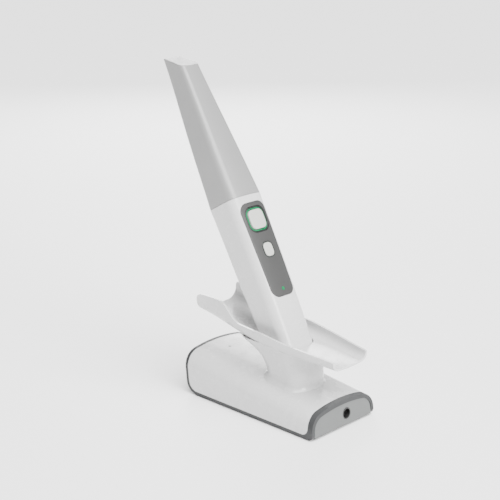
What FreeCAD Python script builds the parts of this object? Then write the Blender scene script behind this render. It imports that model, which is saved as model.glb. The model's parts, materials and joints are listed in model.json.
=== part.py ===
import FreeCAD, Part
import math
import os
import re
import Sketcher
from FreeCAD import Placement, Rotation, Vector

# Cordless dental camera handpiece leaning in its charging cradle, in millimetres.
# Row frame: origin at the centre of the base's underside, +X along the base to the power inlet,
# +Z up. The handpiece has its own frame: origin at the middle of its foot, x towards the buttons,
# y across, z up the handpiece to its tip.

SIZES = {
    # handpiece frame in the row frame
    "wand_x": 21.3, "wand_z": 38.3, "wand_lean": 30,
    # cross sections up the handpiece: height, width, crowned front, back, corner radius
    "foot_height": 0, "foot_width": 33.4, "foot_front": 13.6, "foot_back": 11.2, "foot_corner": 7.5,
    "grip_height": 40, "grip_width": 35, "grip_front": 16.4, "grip_back": 13.9, "grip_corner": 8,
    "waist_height": 90, "waist_width": 36.4, "waist_front": 18, "waist_back": 14.4,
    "waist_corner": 8.2,
    "seam_height": 147.5, "seam_width": 37.8, "seam_front": 19.2, "seam_back": 14.7,
    "seam_corner": 8.4,
    "neck_height": 190, "neck_width": 32.4, "neck_front": 16.4, "neck_back": 13.1, "neck_corner": 7,
    "taper_height": 230, "taper_width": 26, "taper_front": 13.8, "taper_back": 11.7,
    "taper_corner": 5.6,
    "slim_height": 256, "slim_width": 22.4, "slim_front": 12, "slim_back": 10.2, "slim_corner": 4.8,
    "tip_height": 288, "tip_width": 20.5, "tip_front": 10.1, "tip_back": 8.8, "tip_corner": 4.4,
    "front_crown": 60, "back_crown": 110, "heel_share": 0.57, "least_corner": 0.8,
    "shell_wall": 2.4, "sleeve_wall": 1.7, "sleeve_gap": 0.6, "seam_gap": 0.3,
    # slanted end of the tip sleeve, its scan window and mirror
    "slant_x": 11.2, "slant_height": 267.5, "slant_angle": 39.3, "slant_round": 0.9,
    "window_low": 257.5, "window_high": 274.5, "window_width": 13.5, "window_corner": 3,
    "mirror_width": 14.5, "mirror_length": 14, "mirror_thick": 1,
    # button panel, buttons and lights
    "panel_low": 59.2, "panel_high": 141, "panel_low_width": 25, "panel_high_width": 28.5,
    "panel_corner": 7.5, "panel_thick": 1.4, "panel_gap": 0.3, "panel_ledge": 3.5,
    "panel_window": 22.7,
    "scan_height": 126.2, "scan_size": 16.5, "scan_corner": 4.6, "scan_proud": 0.7,
    "ring_size": 22, "ring_corner": 6.8, "ring_sink": 0.35, "ring_floor": 16,
    "mode_height": 99.5, "mode_width": 9.8, "mode_length": 11.6, "mode_corner": 3.6,
    "mode_proud": 0.5, "button_gap": 0.25, "cap_floor": 14.4, "flange_thick": 0.9,
    "flange_edge": 1.1, "plunger_radius": 2.2, "press_gap": 0.7,
    "light_height": 65.2, "light_radius": 1.5, "light_gap": 0.1,
    # boards and cells inside the handpiece
    "board_x": 8.2, "board_thick": 1, "board_width": 23, "board_low": 15, "board_high": 131,
    "frame_x": 6.2, "frame_thick": 1, "frame_width": 26.4, "frame_low": 12.5, "frame_high": 133,
    "rib_thick": 1.4, "rib_back": 6, "rib_width": 24,
    "switch_size": 6, "switch_thick": 2, "knob_thick": 0.7, "knob_radius": 1.6,
    "chip_size": 11, "chip_thick": 1.4, "chip_height": 80,
    "small_screw_radius": 0.8, "small_head_radius": 1.5, "small_head_thick": 0.8,
    "screw_side": 9, "screw_low": 22, "screw_high": 112, "screw_play": 0.06,
    "cell_radius": 6.8, "cell_length": 50, "cell_x": -1, "cell_low": 15.4, "cell_pitch": 13.8,
    "tab_thick": 0.4, "tab_width": 24, "tab_depth": 8,
    "antenna_x": -7, "antenna_low": 78, "antenna_width": 10, "antenna_length": 24,
    # optics
    "axis_x": 2.4, "lens_radius": 5.3, "lens_wall": 1.2, "lens_low": 151, "lens_high": 219,
    "lens_edge": 2.4, "lens_bulge": 0.9, "objective_low": 214, "relay_low": 160,
    "nose_wall": 1.5, "nose_root": 137.8, "nose_end_wall": 1.6, "glass_width": 15,
    "glass_depth": 11, "seal_low": 149.5, "seal_length": 1.6, "seal_play": 0.12,
    "sensor_board_height": 147, "sensor_board_size": 17, "sensor_size": 7, "sensor_thick": 1.2,
    "led_board_height": 221, "led_board_width": 17, "led_board_depth": 13, "led_size": 1.8,
    "led_thick": 0.8, "led_side": 7, "led_rise": 5,
    # foot of the handpiece
    "cap_thick": 3, "cap_round": 1.6, "spigot_length": 3, "spigot_wall": 1.6, "spigot_play": 0.1,
    "pad_side": 5, "pad_x": 0.5, "pad_radius": 1.8, "pad_thick": 1,
    "cap_screw_side": 12, "cap_screw_length": 5,
    # base: arched wedge on a dark tray
    "base_width": 76.5, "base_top": 30.9, "base_slope": 0.11, "base_shoulder": 14.5,
    "base_crown": 150, "base_wall": 2.2, "base_left": -71.8, "base_right": 71.8, "base_low": 0.6,
    "end_lean": 6.5, "band": 3, "right_band": 5, "left_round": 12,
    "right_round": 4.5, "cover_round": 9, "cover_right_round": 6,
    "recess_edge": 3.2, "recess_depth": 1.6, "recess_low": 1.8, "end_cap_play": 0.2, "end_cap_sink": 0.5,
    # power inlet
    "jack_y": 4.8, "jack_z": 11, "jack_front": 70, "jack_face": 65.8, "jack_back": 55,
    "collar_radius": 4.8, "guide_radius": 4, "socket_radius": 2.75, "inlet_pin_radius": 1,
    "jack_width": 11, "jack_height": 8.8,
    # parts inside the base
    "charger_x": 38, "charger_length": 50, "charger_width": 44, "charger_z": 4.6,
    "charger_thick": 1.6, "ballast_x": -30.5, "ballast_length": 43, "ballast_width": 50,
    "ballast_thick": 9, "grip_length": 104, "grip_pad_width": 54, "grip_thick": 1, "grip_pad_corner": 8,
    "screw_radius": 1.4, "head_radius": 2.7, "head_thick": 1.4, "head_sink": 0.3, "boss_radius": 3.4,
    "cover_screw_x": 57, "cover_screw_y": 26, "cover_screw_length": 9,
    "dot_x": -56, "dot_y": -3, "dot_radius": 1.2, "dot_low": 32.6,
    # cradle
    "seat_x": 18, "seat_rise": 2.4, "seat_half_length": 23, "seat_half_width": 19.5,
    "seat_corner": 14, "seat_crown": 30, "neck_crown": 44, "trough_wall": 1.9, "trough_crown": 140,
    "pocket_gap": 0.9,
    "sole_gap": 0.3, "block_back": 6, "block_front": 4, "block_half_width": 9, "block_low": 8,
    "block_top": 0.6, "pin_radius": 0.7, "pin_length": 6, "pin_gap": 0.12, "barrel_wall": 0.45,
    "pin_play": 0.05, "left_seat_screw": 0.5, "right_seat_screw": 37.4, "seat_screw_length": 9,
}

TOP, SIDE, END = "XY_Plane", "XZ_Plane", "YZ_Plane"
WAND_BODY = ("foot", "grip", "waist", "seam")
WAND_TIP = ("seam", "neck", "taper", "slim", "tip")
NOSE = ("seam", "neck", "taper")

doc = FreeCAD.newDocument("dental_camera")
sheet = doc.addObject("Spreadsheet::Sheet", "sizes")
for row, (alias, value) in enumerate(SIZES.items(), 1):
    sheet.set("A%d" % row, alias)
    sheet.set("B%d" % row, str(value))
    sheet.setAlias("B%d" % row, alias)
doc.recompute()

nodes = []


# ---- helpers: sheet, sketches, features ----

def amount(formula):
    """Value of a formula of sheet names."""
    return float(sheet.evalExpression(formula))


def bind(thing, prop, formula):
    """Bind one property to a formula of sheet names."""
    linked = re.sub(r"[a-z][a-z_]+", lambda word: "sizes." + word[0] if word[0] in SIZES else word[0],
                    formula)
    thing.setExpression(prop, linked)


def dimension(sketch, kind, *places, formula):
    """Add one driving dimension, bound to the sheet."""
    index = sketch.addConstraint(Sketcher.Constraint(kind, *places, amount(formula)))
    bind(sketch, "Constraints[%d]" % index, formula)


def node(thing, label, where=None):
    """Register a finished sub-part, in the handpiece's frame where asked."""
    thing.Label = label
    nodes.append(thing)
    if where == "wand":
        thing.Placement = Placement(Vector(), Rotation(Vector(0, 1, 0), -amount("wand_lean")))
        bind(thing, ".Placement.Base.x", "wand_x")
        bind(thing, ".Placement.Base.z", "wand_z")
        bind(thing, ".Placement.Rotation.Angle", "-wand_lean")
    return thing


def new_body(name):
    body = doc.addObject("PartDesign::Body", name)
    body.Label = name
    return body


def sketch_in(body, plane, offset="0"):
    """A sketch on one of the body's own origin planes."""
    sketch = body.newObject("Sketcher::SketchObject", body.Name + "_sketch")
    support = next(f for f in body.Origin.OriginFeatures if f.Role == plane)
    sketch.AttachmentSupport = [(support, "")]
    sketch.MapMode = "FlatFace"
    bind(sketch, ".AttachmentOffset.Base.z", offset)
    return sketch


def loose_sketch(name):
    return doc.addObject("Sketcher::SketchObject", name)


def pad(body, sketch, length, middle=False, back=False):
    feature = body.newObject("PartDesign::Pad", body.Name + "_pad")
    feature.Profile = sketch
    bind(feature, "Length", length)
    feature.Midplane = middle
    feature.Reversed = back
    doc.recompute()
    return feature


def round_edges(body, feature, chosen, radius):
    """Fillet the edges that a test picks."""
    names = ["Edge%d" % i for i, edge in enumerate(feature.Shape.Edges, 1) if chosen(edge)]
    fillet = body.newObject("PartDesign::Fillet", body.Name + "_round")
    fillet.Base = (feature, names)
    bind(fillet, "Radius", radius)
    doc.recompute()
    return fillet


def close_loop(sketch, geometry, tangent):
    """Add a closed chain of lines and arcs; joints are tangent or plain."""
    ids = [sketch.addGeometry(item, False) for item in geometry]
    for here, there in zip(ids, ids[1:] + ids[:1]):
        kind = "Tangent" if tangent else "Coincident"
        sketch.addConstraint(Sketcher.Constraint(kind, here, 2, there, 1))
    return ids


def arc(centre, radius, start, end):
    """Counter-clockwise arc between two points."""
    first = math.atan2(start.y - centre.y, start.x - centre.x)
    last = math.atan2(end.y - centre.y, end.x - centre.x)
    if last <= first:
        last += 2 * math.pi
    return Part.ArcOfCircle(Part.Circle(centre, Vector(0, 0, 1), radius), first, last)


def polygon(sketch, points):
    """Straight outline; points are pairs of formulas."""
    spots = [Vector(amount(x), amount(y), 0) for x, y in points]
    lines = [Part.LineSegment(a, b) for a, b in zip(spots, spots[1:] + spots[:1])]
    ids = close_loop(sketch, lines, False)
    for line, (x, y) in zip(ids, points):
        dimension(sketch, "DistanceX", -1, 1, line, 1, formula=x)
        dimension(sketch, "DistanceY", -1, 1, line, 1, formula=y)


def rounded_rect(sketch, centre, across, up, corner):
    """Rectangle with round corners, all sizes as formulas."""
    x, y = (amount(part) for part in centre)
    half_x, half_y, r = amount(across) / 2, amount(up) / 2, amount(corner)
    items = []
    for turn in range(4):
        sign_x, sign_y = ((1, -1), (1, 1), (-1, 1), (-1, -1))[turn]
        middle = Vector(x + sign_x * (half_x - r), y + sign_y * (half_y - r), 0)
        steps = (Vector(0, -r, 0), Vector(r, 0, 0), Vector(0, r, 0), Vector(-r, 0, 0))
        start, end = middle + steps[turn], middle + steps[(turn + 1) % 4]
        if items:
            items.append(Part.LineSegment(items[-1].EndPoint, start))
        items.append(arc(middle, r, start, end))
    items.append(Part.LineSegment(items[-1].EndPoint, items[0].StartPoint))
    ids = close_loop(sketch, items, True)
    for line, kind in zip(ids[1::2], ("Vertical", "Horizontal") * 2):
        sketch.addConstraint(Sketcher.Constraint(kind, line))
    for other in ids[2::2]:
        sketch.addConstraint(Sketcher.Constraint("Equal", ids[0], other))
    dimension(sketch, "Radius", ids[0], formula=corner)
    right, upper, left, lower = ids[1::2]
    dimension(sketch, "DistanceX", left, 1, right, 1, formula=across)
    dimension(sketch, "DistanceY", lower, 1, upper, 1, formula=up)
    dimension(sketch, "DistanceX", -1, 1, left, 1, formula="%s - (%s) / 2" % (centre[0], across))
    dimension(sketch, "DistanceY", -1, 1, lower, 1, formula="%s - (%s) / 2" % (centre[1], up))


def circle(sketch, centre, radius):
    spot = Vector(amount(centre[0]), amount(centre[1]), 0)
    index = sketch.addGeometry(Part.Circle(spot, Vector(0, 0, 1), amount(radius)), False)
    dimension(sketch, "Radius", index, formula=radius)
    dimension(sketch, "DistanceX", -1, 1, index, 3, formula=centre[0])
    dimension(sketch, "DistanceY", -1, 1, index, 3, formula=centre[1])


def crowned_end(apex, crown, half, corner, side):
    """Points of one crowned end: crown centre, corner centre, and their two joints."""
    centre = apex - side * crown
    corner_x = centre + side * math.sqrt((crown - corner) ** 2 - (half - corner) ** 2)
    scale = crown / (crown - corner)
    joint = Vector(centre + (corner_x - centre) * scale, (half - corner) * scale, 0)
    return Vector(centre, 0, 0), Vector(corner_x, half - corner, 0), joint, Vector(corner_x, half, 0)


def crowned_outline(sketch, width, front, back, corners, crowns):
    """Oval of two crowned ends and two flat flanks, lying along the sketch's x axis.

    Corners and crowns are pairs of formulas, front and back."""
    half, (r, heel) = amount(width) / 2, (amount(corner) for corner in corners)
    far, near = (amount(crown) for crown in crowns)
    middle, elbow, joint, flank = crowned_end(amount(front), far, half, r, 1)
    rear_middle, rear_elbow, rear_joint, rear_flank = crowned_end(-amount(back), near, half, heel, -1)

    def mirror(spot):
        return Vector(spot.x, -spot.y, 0)

    ids = close_loop(sketch, [
        arc(middle, far, mirror(joint), joint), arc(elbow, r, joint, flank),
        Part.LineSegment(flank, rear_flank), arc(rear_elbow, heel, rear_flank, rear_joint),
        arc(rear_middle, near, rear_joint, mirror(rear_joint)),
        arc(mirror(rear_elbow), heel, mirror(rear_joint), mirror(rear_flank)),
        Part.LineSegment(mirror(rear_flank), mirror(flank)),
        arc(mirror(elbow), r, mirror(flank), mirror(joint))], True)
    sketch.addConstraint(Sketcher.Constraint("Horizontal", ids[2]))
    sketch.addConstraint(Sketcher.Constraint("Horizontal", ids[6]))
    sketch.addConstraint(Sketcher.Constraint("PointOnObject", ids[0], 3, -1))
    sketch.addConstraint(Sketcher.Constraint("PointOnObject", ids[4], 3, -1))
    sketch.addConstraint(Sketcher.Constraint("Symmetric", ids[0], 1, ids[0], 2, -1))
    sketch.addConstraint(Sketcher.Constraint("Equal", ids[3], ids[5]))
    for index, radius in ((0, crowns[0]), (1, corners[0]), (3, corners[1]), (4, crowns[1])):
        dimension(sketch, "Radius", ids[index], formula=radius)
    dimension(sketch, "DistanceY", ids[6], 1, ids[2], 1, formula=width)
    dimension(sketch, "DistanceX", ids[0], 3, -1, 1, formula="%s - (%s)" % (crowns[0], front))
    dimension(sketch, "DistanceX", -1, 1, ids[4], 3, formula="%s - (%s)" % (crowns[1], back))


def arch_outline(sketch, width, apex, corner, crown, flat, side):
    """Arch with a crowned top (side 1) or a crowned bottom (side -1) and a flat far edge."""
    half, r, big = amount(width) / 2, amount(corner), amount(crown)
    centre_y = amount(apex) - side * big
    elbow_y = centre_y + side * math.sqrt((big - r) ** 2 - (half - r) ** 2)
    scale = big / (big - r)
    middle, base = Vector(0, centre_y, 0), amount(flat)
    lip = [Vector(turn * half, base, 0) for turn in (-side, side)]
    flank = [Vector(turn * half, elbow_y, 0) for turn in (-side, side)]
    elbow = [Vector(turn * (half - r), elbow_y, 0) for turn in (-side, side)]
    joint = [middle + (spot - middle) * scale for spot in elbow]
    items = [Part.LineSegment(lip[0], lip[1]), Part.LineSegment(lip[1], flank[1]),
             arc(elbow[1], r, flank[1], joint[1]), arc(middle, big, joint[1], joint[0]),
             arc(elbow[0], r, joint[0], flank[0]), Part.LineSegment(flank[0], lip[0])]
    ids = [sketch.addGeometry(item, False) for item in items]
    for here, there, kind in ((0, 1, "Coincident"), (1, 2, "Tangent"), (2, 3, "Tangent"),
                              (3, 4, "Tangent"), (4, 5, "Tangent"), (5, 0, "Coincident")):
        sketch.addConstraint(Sketcher.Constraint(kind, ids[here], 2, ids[there], 1))
    sketch.addConstraint(Sketcher.Constraint("Vertical", ids[1]))
    sketch.addConstraint(Sketcher.Constraint("Vertical", ids[5]))
    sketch.addConstraint(Sketcher.Constraint("PointOnObject", ids[3], 3, -2))
    sketch.addConstraint(Sketcher.Constraint("Symmetric", ids[0], 1, ids[0], 2, -2))
    sketch.addConstraint(Sketcher.Constraint("Equal", ids[2], ids[4]))
    dimension(sketch, "Radius", ids[3], formula=crown)
    dimension(sketch, "Radius", ids[2], formula=corner)
    first, last = (0, 1) if side > 0 else (1, 0)
    dimension(sketch, "DistanceX", ids[0], first + 1, ids[0], last + 1, formula=width)
    dimension(sketch, "DistanceY", -1, 1, ids[0], 1, formula=flat)
    dimension(sketch, "DistanceY", -1, 1, ids[3], 3,
              formula="%s - (%d) * (%s)" % (apex, side, crown))


def loft(name, sections, ruled=False):
    solid = doc.addObject("Part::Loft", name)
    solid.Sections = sections
    solid.Solid = True
    solid.Ruled = ruled
    doc.recompute()
    return solid


def cut(name, base, *tools):
    """Base less every tool."""
    result = doc.addObject("Part::Cut", name)
    result.Base = base
    result.Tool = tools[0] if len(tools) == 1 else fuse(name + "_tools", *tools)
    doc.recompute()
    return result


def fuse(name, *parts):
    result = doc.addObject("Part::MultiFuse", name)
    result.Shapes = list(parts)
    doc.recompute()
    return result


def common(name, *parts):
    result = doc.addObject("Part::MultiCommon", name)
    result.Shapes = list(parts)
    doc.recompute()
    return result


def prism(name, plane, draw, length, offset="0", middle=False, back=False):
    """Body padded from one outline, which draw adds to its sketch."""
    body = new_body(name)
    sketch = sketch_in(body, plane, offset)
    draw(sketch)
    pad(body, sketch, length, middle, back)
    return body


def block(name, x, y, z):
    """Box between three pairs of formulas."""
    box = doc.addObject("Part::Box", name)
    for prop, place, (low, high) in (("Length", "x", x), ("Width", "y", y), ("Height", "z", z)):
        bind(box, prop, "(%s) - (%s)" % (high, low))
        bind(box, ".Placement.Base." + place, low)
    return box


def rod(name, radius, length, spot, along="z"):
    """Cylinder that starts at a spot and runs along one axis."""
    cylinder = doc.addObject("Part::Cylinder", name)
    turns = {"x": Rotation(Vector(0, 1, 0), 90), "y": Rotation(Vector(1, 0, 0), -90),
             "z": Rotation()}
    cylinder.Placement = Placement(Vector(), turns[along])
    bind(cylinder, "Radius", radius)
    bind(cylinder, "Height", length)
    for place, formula in zip("xyz", spot):
        bind(cylinder, ".Placement.Base." + place, formula)
    return cylinder


def screws(name, spots, along, shank, head, shank_radius, head_radius, head_first=False):
    """Identical screws that run up one axis from their spots, as separate solids."""
    runs = [("head", head_radius, head), ("shank", shank_radius, shank)]
    if not head_first:
        runs.reverse()
    parts = []
    for index, spot in enumerate(spots):
        here = dict(zip("xyz", spot))
        for kind, radius, length in runs:
            parts.append(rod("%s_%s_%d" % (name, kind, index), radius, length,
                             tuple(here.values()), along))
            here[along] = "%s + %s" % (here[along], length)
    return fuse(name, *parts)


# ---- handpiece: shared outer shapes ----

def wand_section(level, grow):
    """Cross section of the handpiece at one level, grown outwards by a formula."""
    sketch = loose_sketch("section_" + level)
    corners = ("%s_corner + %s" % (level, grow),
               "max(least_corner; %s_corner * heel_share + %s)" % (level, grow))
    crowned_outline(sketch, "%s_width + 2 * (%s)" % (level, grow), "%s_front + %s" % (level, grow),
                    "%s_back + %s" % (level, grow), corners,
                    ("front_crown + %s" % grow, "back_crown + %s" % grow))
    bind(sketch, ".Placement.Base.z", level + "_height")
    return sketch


def wand_loft(name, levels, grow="0"):
    return loft(name, [wand_section(level, grow) for level in levels])


def wand_slab(name, low, high):
    """Everything between two heights of the handpiece."""
    return block(name, ("-40", "40"), ("-30", "30"), (low, high))


def front_prism(name, centre, across, up, corner, low, high="40"):
    """Rounded-rectangle prism standing on the button face."""
    return prism(name, END, lambda sketch: rounded_rect(sketch, ("0", centre), across, up, corner),
                 "%s - (%s)" % (high, low), low)


def panel_prism(name, grow, low="0"):
    """Tapered outline of the button panel, grown by a formula, with round corners."""
    body = new_body(name)
    sketch = sketch_in(body, END, low)
    narrow, wide = "panel_low_width / 2 + " + grow, "panel_high_width / 2 + " + grow
    bottom, top = "panel_low - " + grow, "panel_high + " + grow
    polygon(sketch, [("-(%s)" % narrow, bottom), (narrow, bottom), (wide, top), ("-(%s)" % wide, top)])
    base = pad(body, sketch, "40 - (%s)" % low)
    depth = 40 - amount(low)
    round_edges(body, base, lambda edge: abs(edge.Length - depth) < 1e-6, "panel_corner + " + grow)
    return body


# ---- handpiece: body, panel, buttons ----

def make_body_shell():
    window_middle = "(panel_low + panel_high) / 2"
    window_length = "panel_high - panel_low - 2 * panel_ledge"
    recess = cut("panel_recess", panel_prism("recess_prism", "panel_gap"),
                 wand_loft("recess_floor", WAND_BODY, "-panel_thick"))
    shell = cut("shell", wand_loft("shell_outside", WAND_BODY),
                wand_loft("shell_inside", WAND_BODY, "-shell_wall"),
                wand_slab("below_shell", "-5", "cap_thick"), recess,
                front_prism("panel_opening", window_middle, "panel_window", window_length, "5", "5"))
    node(shell, "body_shell", "wand")


def make_button_panel():
    layer = cut("panel_layer", wand_loft("panel_outside", WAND_BODY),
                wand_loft("panel_underside", WAND_BODY, "-panel_thick"))
    plate = common("panel_plate", layer, panel_prism("panel_outline", "0"))
    panel = cut("panel", plate,
                front_prism("ring_hole", "scan_height", "ring_size + 2 * button_gap",
                            "ring_size + 2 * button_gap", "ring_corner + button_gap", "5"),
                front_prism("mode_hole", "mode_height", "mode_width + 2 * button_gap",
                            "mode_length + 2 * button_gap", "mode_corner + button_gap", "5"),
                rod("light_hole", "light_radius + light_gap", "30", ("5", "0", "light_height"), "x"))
    node(panel, "button_panel", "wand")


def make_light_ring():
    outside = common("ring_outside", wand_loft("ring_top", WAND_BODY, "-ring_sink"),
                     front_prism("ring_prism", "scan_height", "ring_size", "ring_size",
                                 "ring_corner", "ring_floor"))
    ring = cut("ring", outside,
               front_prism("ring_bore", "scan_height", "scan_size + 2 * button_gap",
                           "scan_size + 2 * button_gap", "scan_corner + button_gap", "5"))
    node(ring, "light_ring", "wand")


def make_button(label, centre, across, up, corner, proud):
    """Cap that follows the crowned face, with a retaining flange and a plunger."""
    cap = common(label + "_cap", wand_loft(label + "_top", WAND_BODY, proud),
                 front_prism(label + "_prism", centre, across, up, corner, "cap_floor"))
    flange = front_prism(label + "_flange", centre, across + " + 2 * flange_edge",
                         up + " + 2 * flange_edge", corner + " + flange_edge", "cap_floor",
                         "cap_floor + flange_thick")
    tip = "board_x + board_thick + switch_thick + knob_thick + press_gap"
    plunger = rod(label + "_plunger", "plunger_radius", "cap_floor - (%s)" % tip,
                  (tip, "0", centre), "x")
    node(fuse(label + "_solid", cap, flange, plunger), label, "wand")


def make_status_light():
    pipe = rod("light_pipe", "light_radius", "20", ("board_x + board_thick + 1.5", "0",
                                                    "light_height"), "x")
    node(common("light", wand_loft("light_top", WAND_BODY), pipe), "status_light", "wand")


# ---- handpiece: tip sleeve and optics ----

def slant_block(name, inset):
    """Everything beyond the slanted end plane, moved inwards by a formula."""
    body = new_body(name)
    sketch = sketch_in(body, SIDE)
    edge_x = "slant_x - (%s) * sin(slant_angle)" % inset
    edge_z = "slant_height - (%s) * cos(slant_angle)" % inset
    right = ("%s + 20 * cos(slant_angle)" % edge_x, "%s - 20 * sin(slant_angle)" % edge_z)
    left = ("%s - 50 * cos(slant_angle)" % edge_x, "%s + 50 * sin(slant_angle)" % edge_z)
    polygon(sketch, [right, (right[0], "340"), (left[0], "340"), left])
    pad(body, sketch, "80", True)
    return body


def make_tip_sleeve():
    outside = cut("sleeve_outside", wand_loft("sleeve_loft", WAND_TIP), slant_block("slant", "0"))
    rounded = doc.addObject("Part::Fillet", "sleeve_rounded")
    rounded.Base = outside
    normal = Vector(math.sin(math.radians(amount("slant_angle"))), 0,
                    math.cos(math.radians(amount("slant_angle"))))
    ends = [face for face in outside.Shape.Faces
            if face.Surface.TypeId == "Part::GeomPlane" and face.normalAt(0, 0).dot(normal) > 0.999]
    picked = [i for i, edge in enumerate(outside.Shape.Edges, 1)
              if any(edge.isSame(rim) for face in ends for rim in face.Edges)]
    radius = amount("slant_round")
    rounded.Edges = [(i, radius, radius) for i in picked]
    doc.recompute()
    inside = cut("sleeve_hollow", wand_loft("sleeve_inside", WAND_TIP, "-sleeve_wall"),
                 slant_block("slant_inside", "sleeve_wall"))
    window = prism("scan_window", END, lambda sketch: rounded_rect(
        sketch, ("0", "(window_low + window_high) / 2"), "window_width",
        "window_high - window_low", "window_corner"), "20", back=True)
    sleeve = cut("sleeve", rounded, inside, window,
                 wand_slab("below_sleeve", "seam_height - 5", "seam_height + seam_gap"))
    node(sleeve, "tip_sleeve", "wand")


def make_tip_mirror():
    """Mirror bonded under the slanted end, turning the view out of the window."""
    mirror = new_body("mirror")
    rounded = sketch_in(mirror, TOP)
    rounded_rect(rounded, ("0", "0"), "mirror_length", "mirror_width", "2")
    pad(mirror, rounded, "mirror_thick", back=True)
    node(mirror, "tip_mirror")
    lean = "sleeve_wall + 0.05"
    along = "13.5"
    mirror.Placement = Placement(Vector(), Rotation(Vector(0, 1, 0),
                                                    amount("slant_angle - wand_lean")))
    local_x = "(slant_x - (%s) * sin(slant_angle) - %s * cos(slant_angle))" % (lean, along)
    local_z = "(slant_height - (%s) * cos(slant_angle) + %s * sin(slant_angle))" % (lean, along)
    bind(mirror, ".Placement.Base.x", "wand_x + %s * cos(wand_lean) - %s * sin(wand_lean)"
         % (local_x, local_z))
    bind(mirror, ".Placement.Base.z", "wand_z + %s * sin(wand_lean) + %s * cos(wand_lean)"
         % (local_x, local_z))
    bind(mirror, ".Placement.Rotation.Angle", "slant_angle - wand_lean")


def make_nose():
    """Tapered optics housing that the sleeve slides over, rooted in the body shell."""
    skin = "-(sleeve_wall + sleeve_gap)"
    root = common("nose_root_outside", wand_loft("nose_root_loft", WAND_BODY, "-(shell_wall + 0.1)"),
                  wand_slab("nose_root_slab", "nose_root", "seam_height"))
    root_hole = wand_loft("nose_root_inside", WAND_BODY, "-(shell_wall + 0.1 + nose_wall)")
    hollow = cut("nose_hollow", wand_loft("nose_inside", NOSE, skin + " - nose_wall"),
                 wand_slab("nose_end", "taper_height - nose_end_wall", "taper_height + 5"))
    glass_hole = prism("glass_hole", TOP, lambda sketch: rounded_rect(
        sketch, ("axis_x", "0"), "glass_depth", "glass_width", "2"), "20", "taper_height - 8")
    nose = cut("nose_solid", fuse("nose_outside", root, wand_loft("nose_loft", NOSE, skin)),
               fuse("nose_holes", root_hole, hollow), glass_hole)
    node(nose, "optics_nose", "wand")


def make_nose_seal():
    ring = cut("seal_ring", wand_loft("seal_outside", NOSE, "-(sleeve_wall + seal_play)"),
               wand_loft("seal_inside", NOSE, "-(sleeve_wall + sleeve_gap)"))
    node(common("seal", ring, wand_slab("seal_slab", "seal_low", "seal_low + seal_length")),
         "nose_seal", "wand")


def make_lens(label, low):
    """Biconvex lens turned about the optical axis."""
    lens = new_body(label + "_lens")
    sketch = sketch_in(lens, SIDE)
    radius, edge, bulge = (amount(name) for name in ("lens_radius", "lens_edge", "lens_bulge"))
    curve = (radius ** 2 + bulge ** 2) / (2 * bulge)
    corner = [Vector(0, -bulge, 0), Vector(radius, 0, 0), Vector(radius, edge, 0),
              Vector(0, edge + bulge, 0)]
    ids = [sketch.addGeometry(item, False) for item in (
        arc(Vector(0, curve - bulge, 0), curve, corner[0], corner[1]),
        Part.LineSegment(corner[1], corner[2]),
        arc(Vector(0, edge + bulge - curve, 0), curve, corner[2], corner[3]),
        Part.LineSegment(corner[3], corner[0]))]
    for here, there in zip(ids, ids[1:] + ids[:1]):
        sketch.addConstraint(Sketcher.Constraint("Coincident", here, 2, there, 1))
    sketch.addConstraint(Sketcher.Constraint("Vertical", ids[1]))
    sketch.addConstraint(Sketcher.Constraint("PointOnObject", ids[0], 1, -2))
    sketch.addConstraint(Sketcher.Constraint("PointOnObject", ids[2], 2, -2))
    dimension(sketch, "DistanceX", -1, 1, ids[0], 2, formula="lens_radius")
    dimension(sketch, "DistanceY", -1, 1, ids[0], 2, formula="0")
    dimension(sketch, "DistanceY", ids[1], 1, ids[1], 2, formula="lens_edge")
    dimension(sketch, "DistanceY", ids[0], 1, ids[0], 2, formula="lens_bulge")
    dimension(sketch, "DistanceY", ids[2], 1, ids[2], 2, formula="lens_bulge")
    turned = lens.newObject("PartDesign::Revolution", label + "_turned")
    turned.Profile = sketch
    turned.ReferenceAxis = (sketch, ["V_Axis"])
    turned.Angle = 360
    doc.recompute()
    node(lens, label, "wand")
    bind(lens, ".Placement.Base.x", "wand_x + axis_x * cos(wand_lean) - %s * sin(wand_lean)" % low)
    bind(lens, ".Placement.Base.z", "wand_z + axis_x * sin(wand_lean) + %s * cos(wand_lean)" % low)


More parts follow.
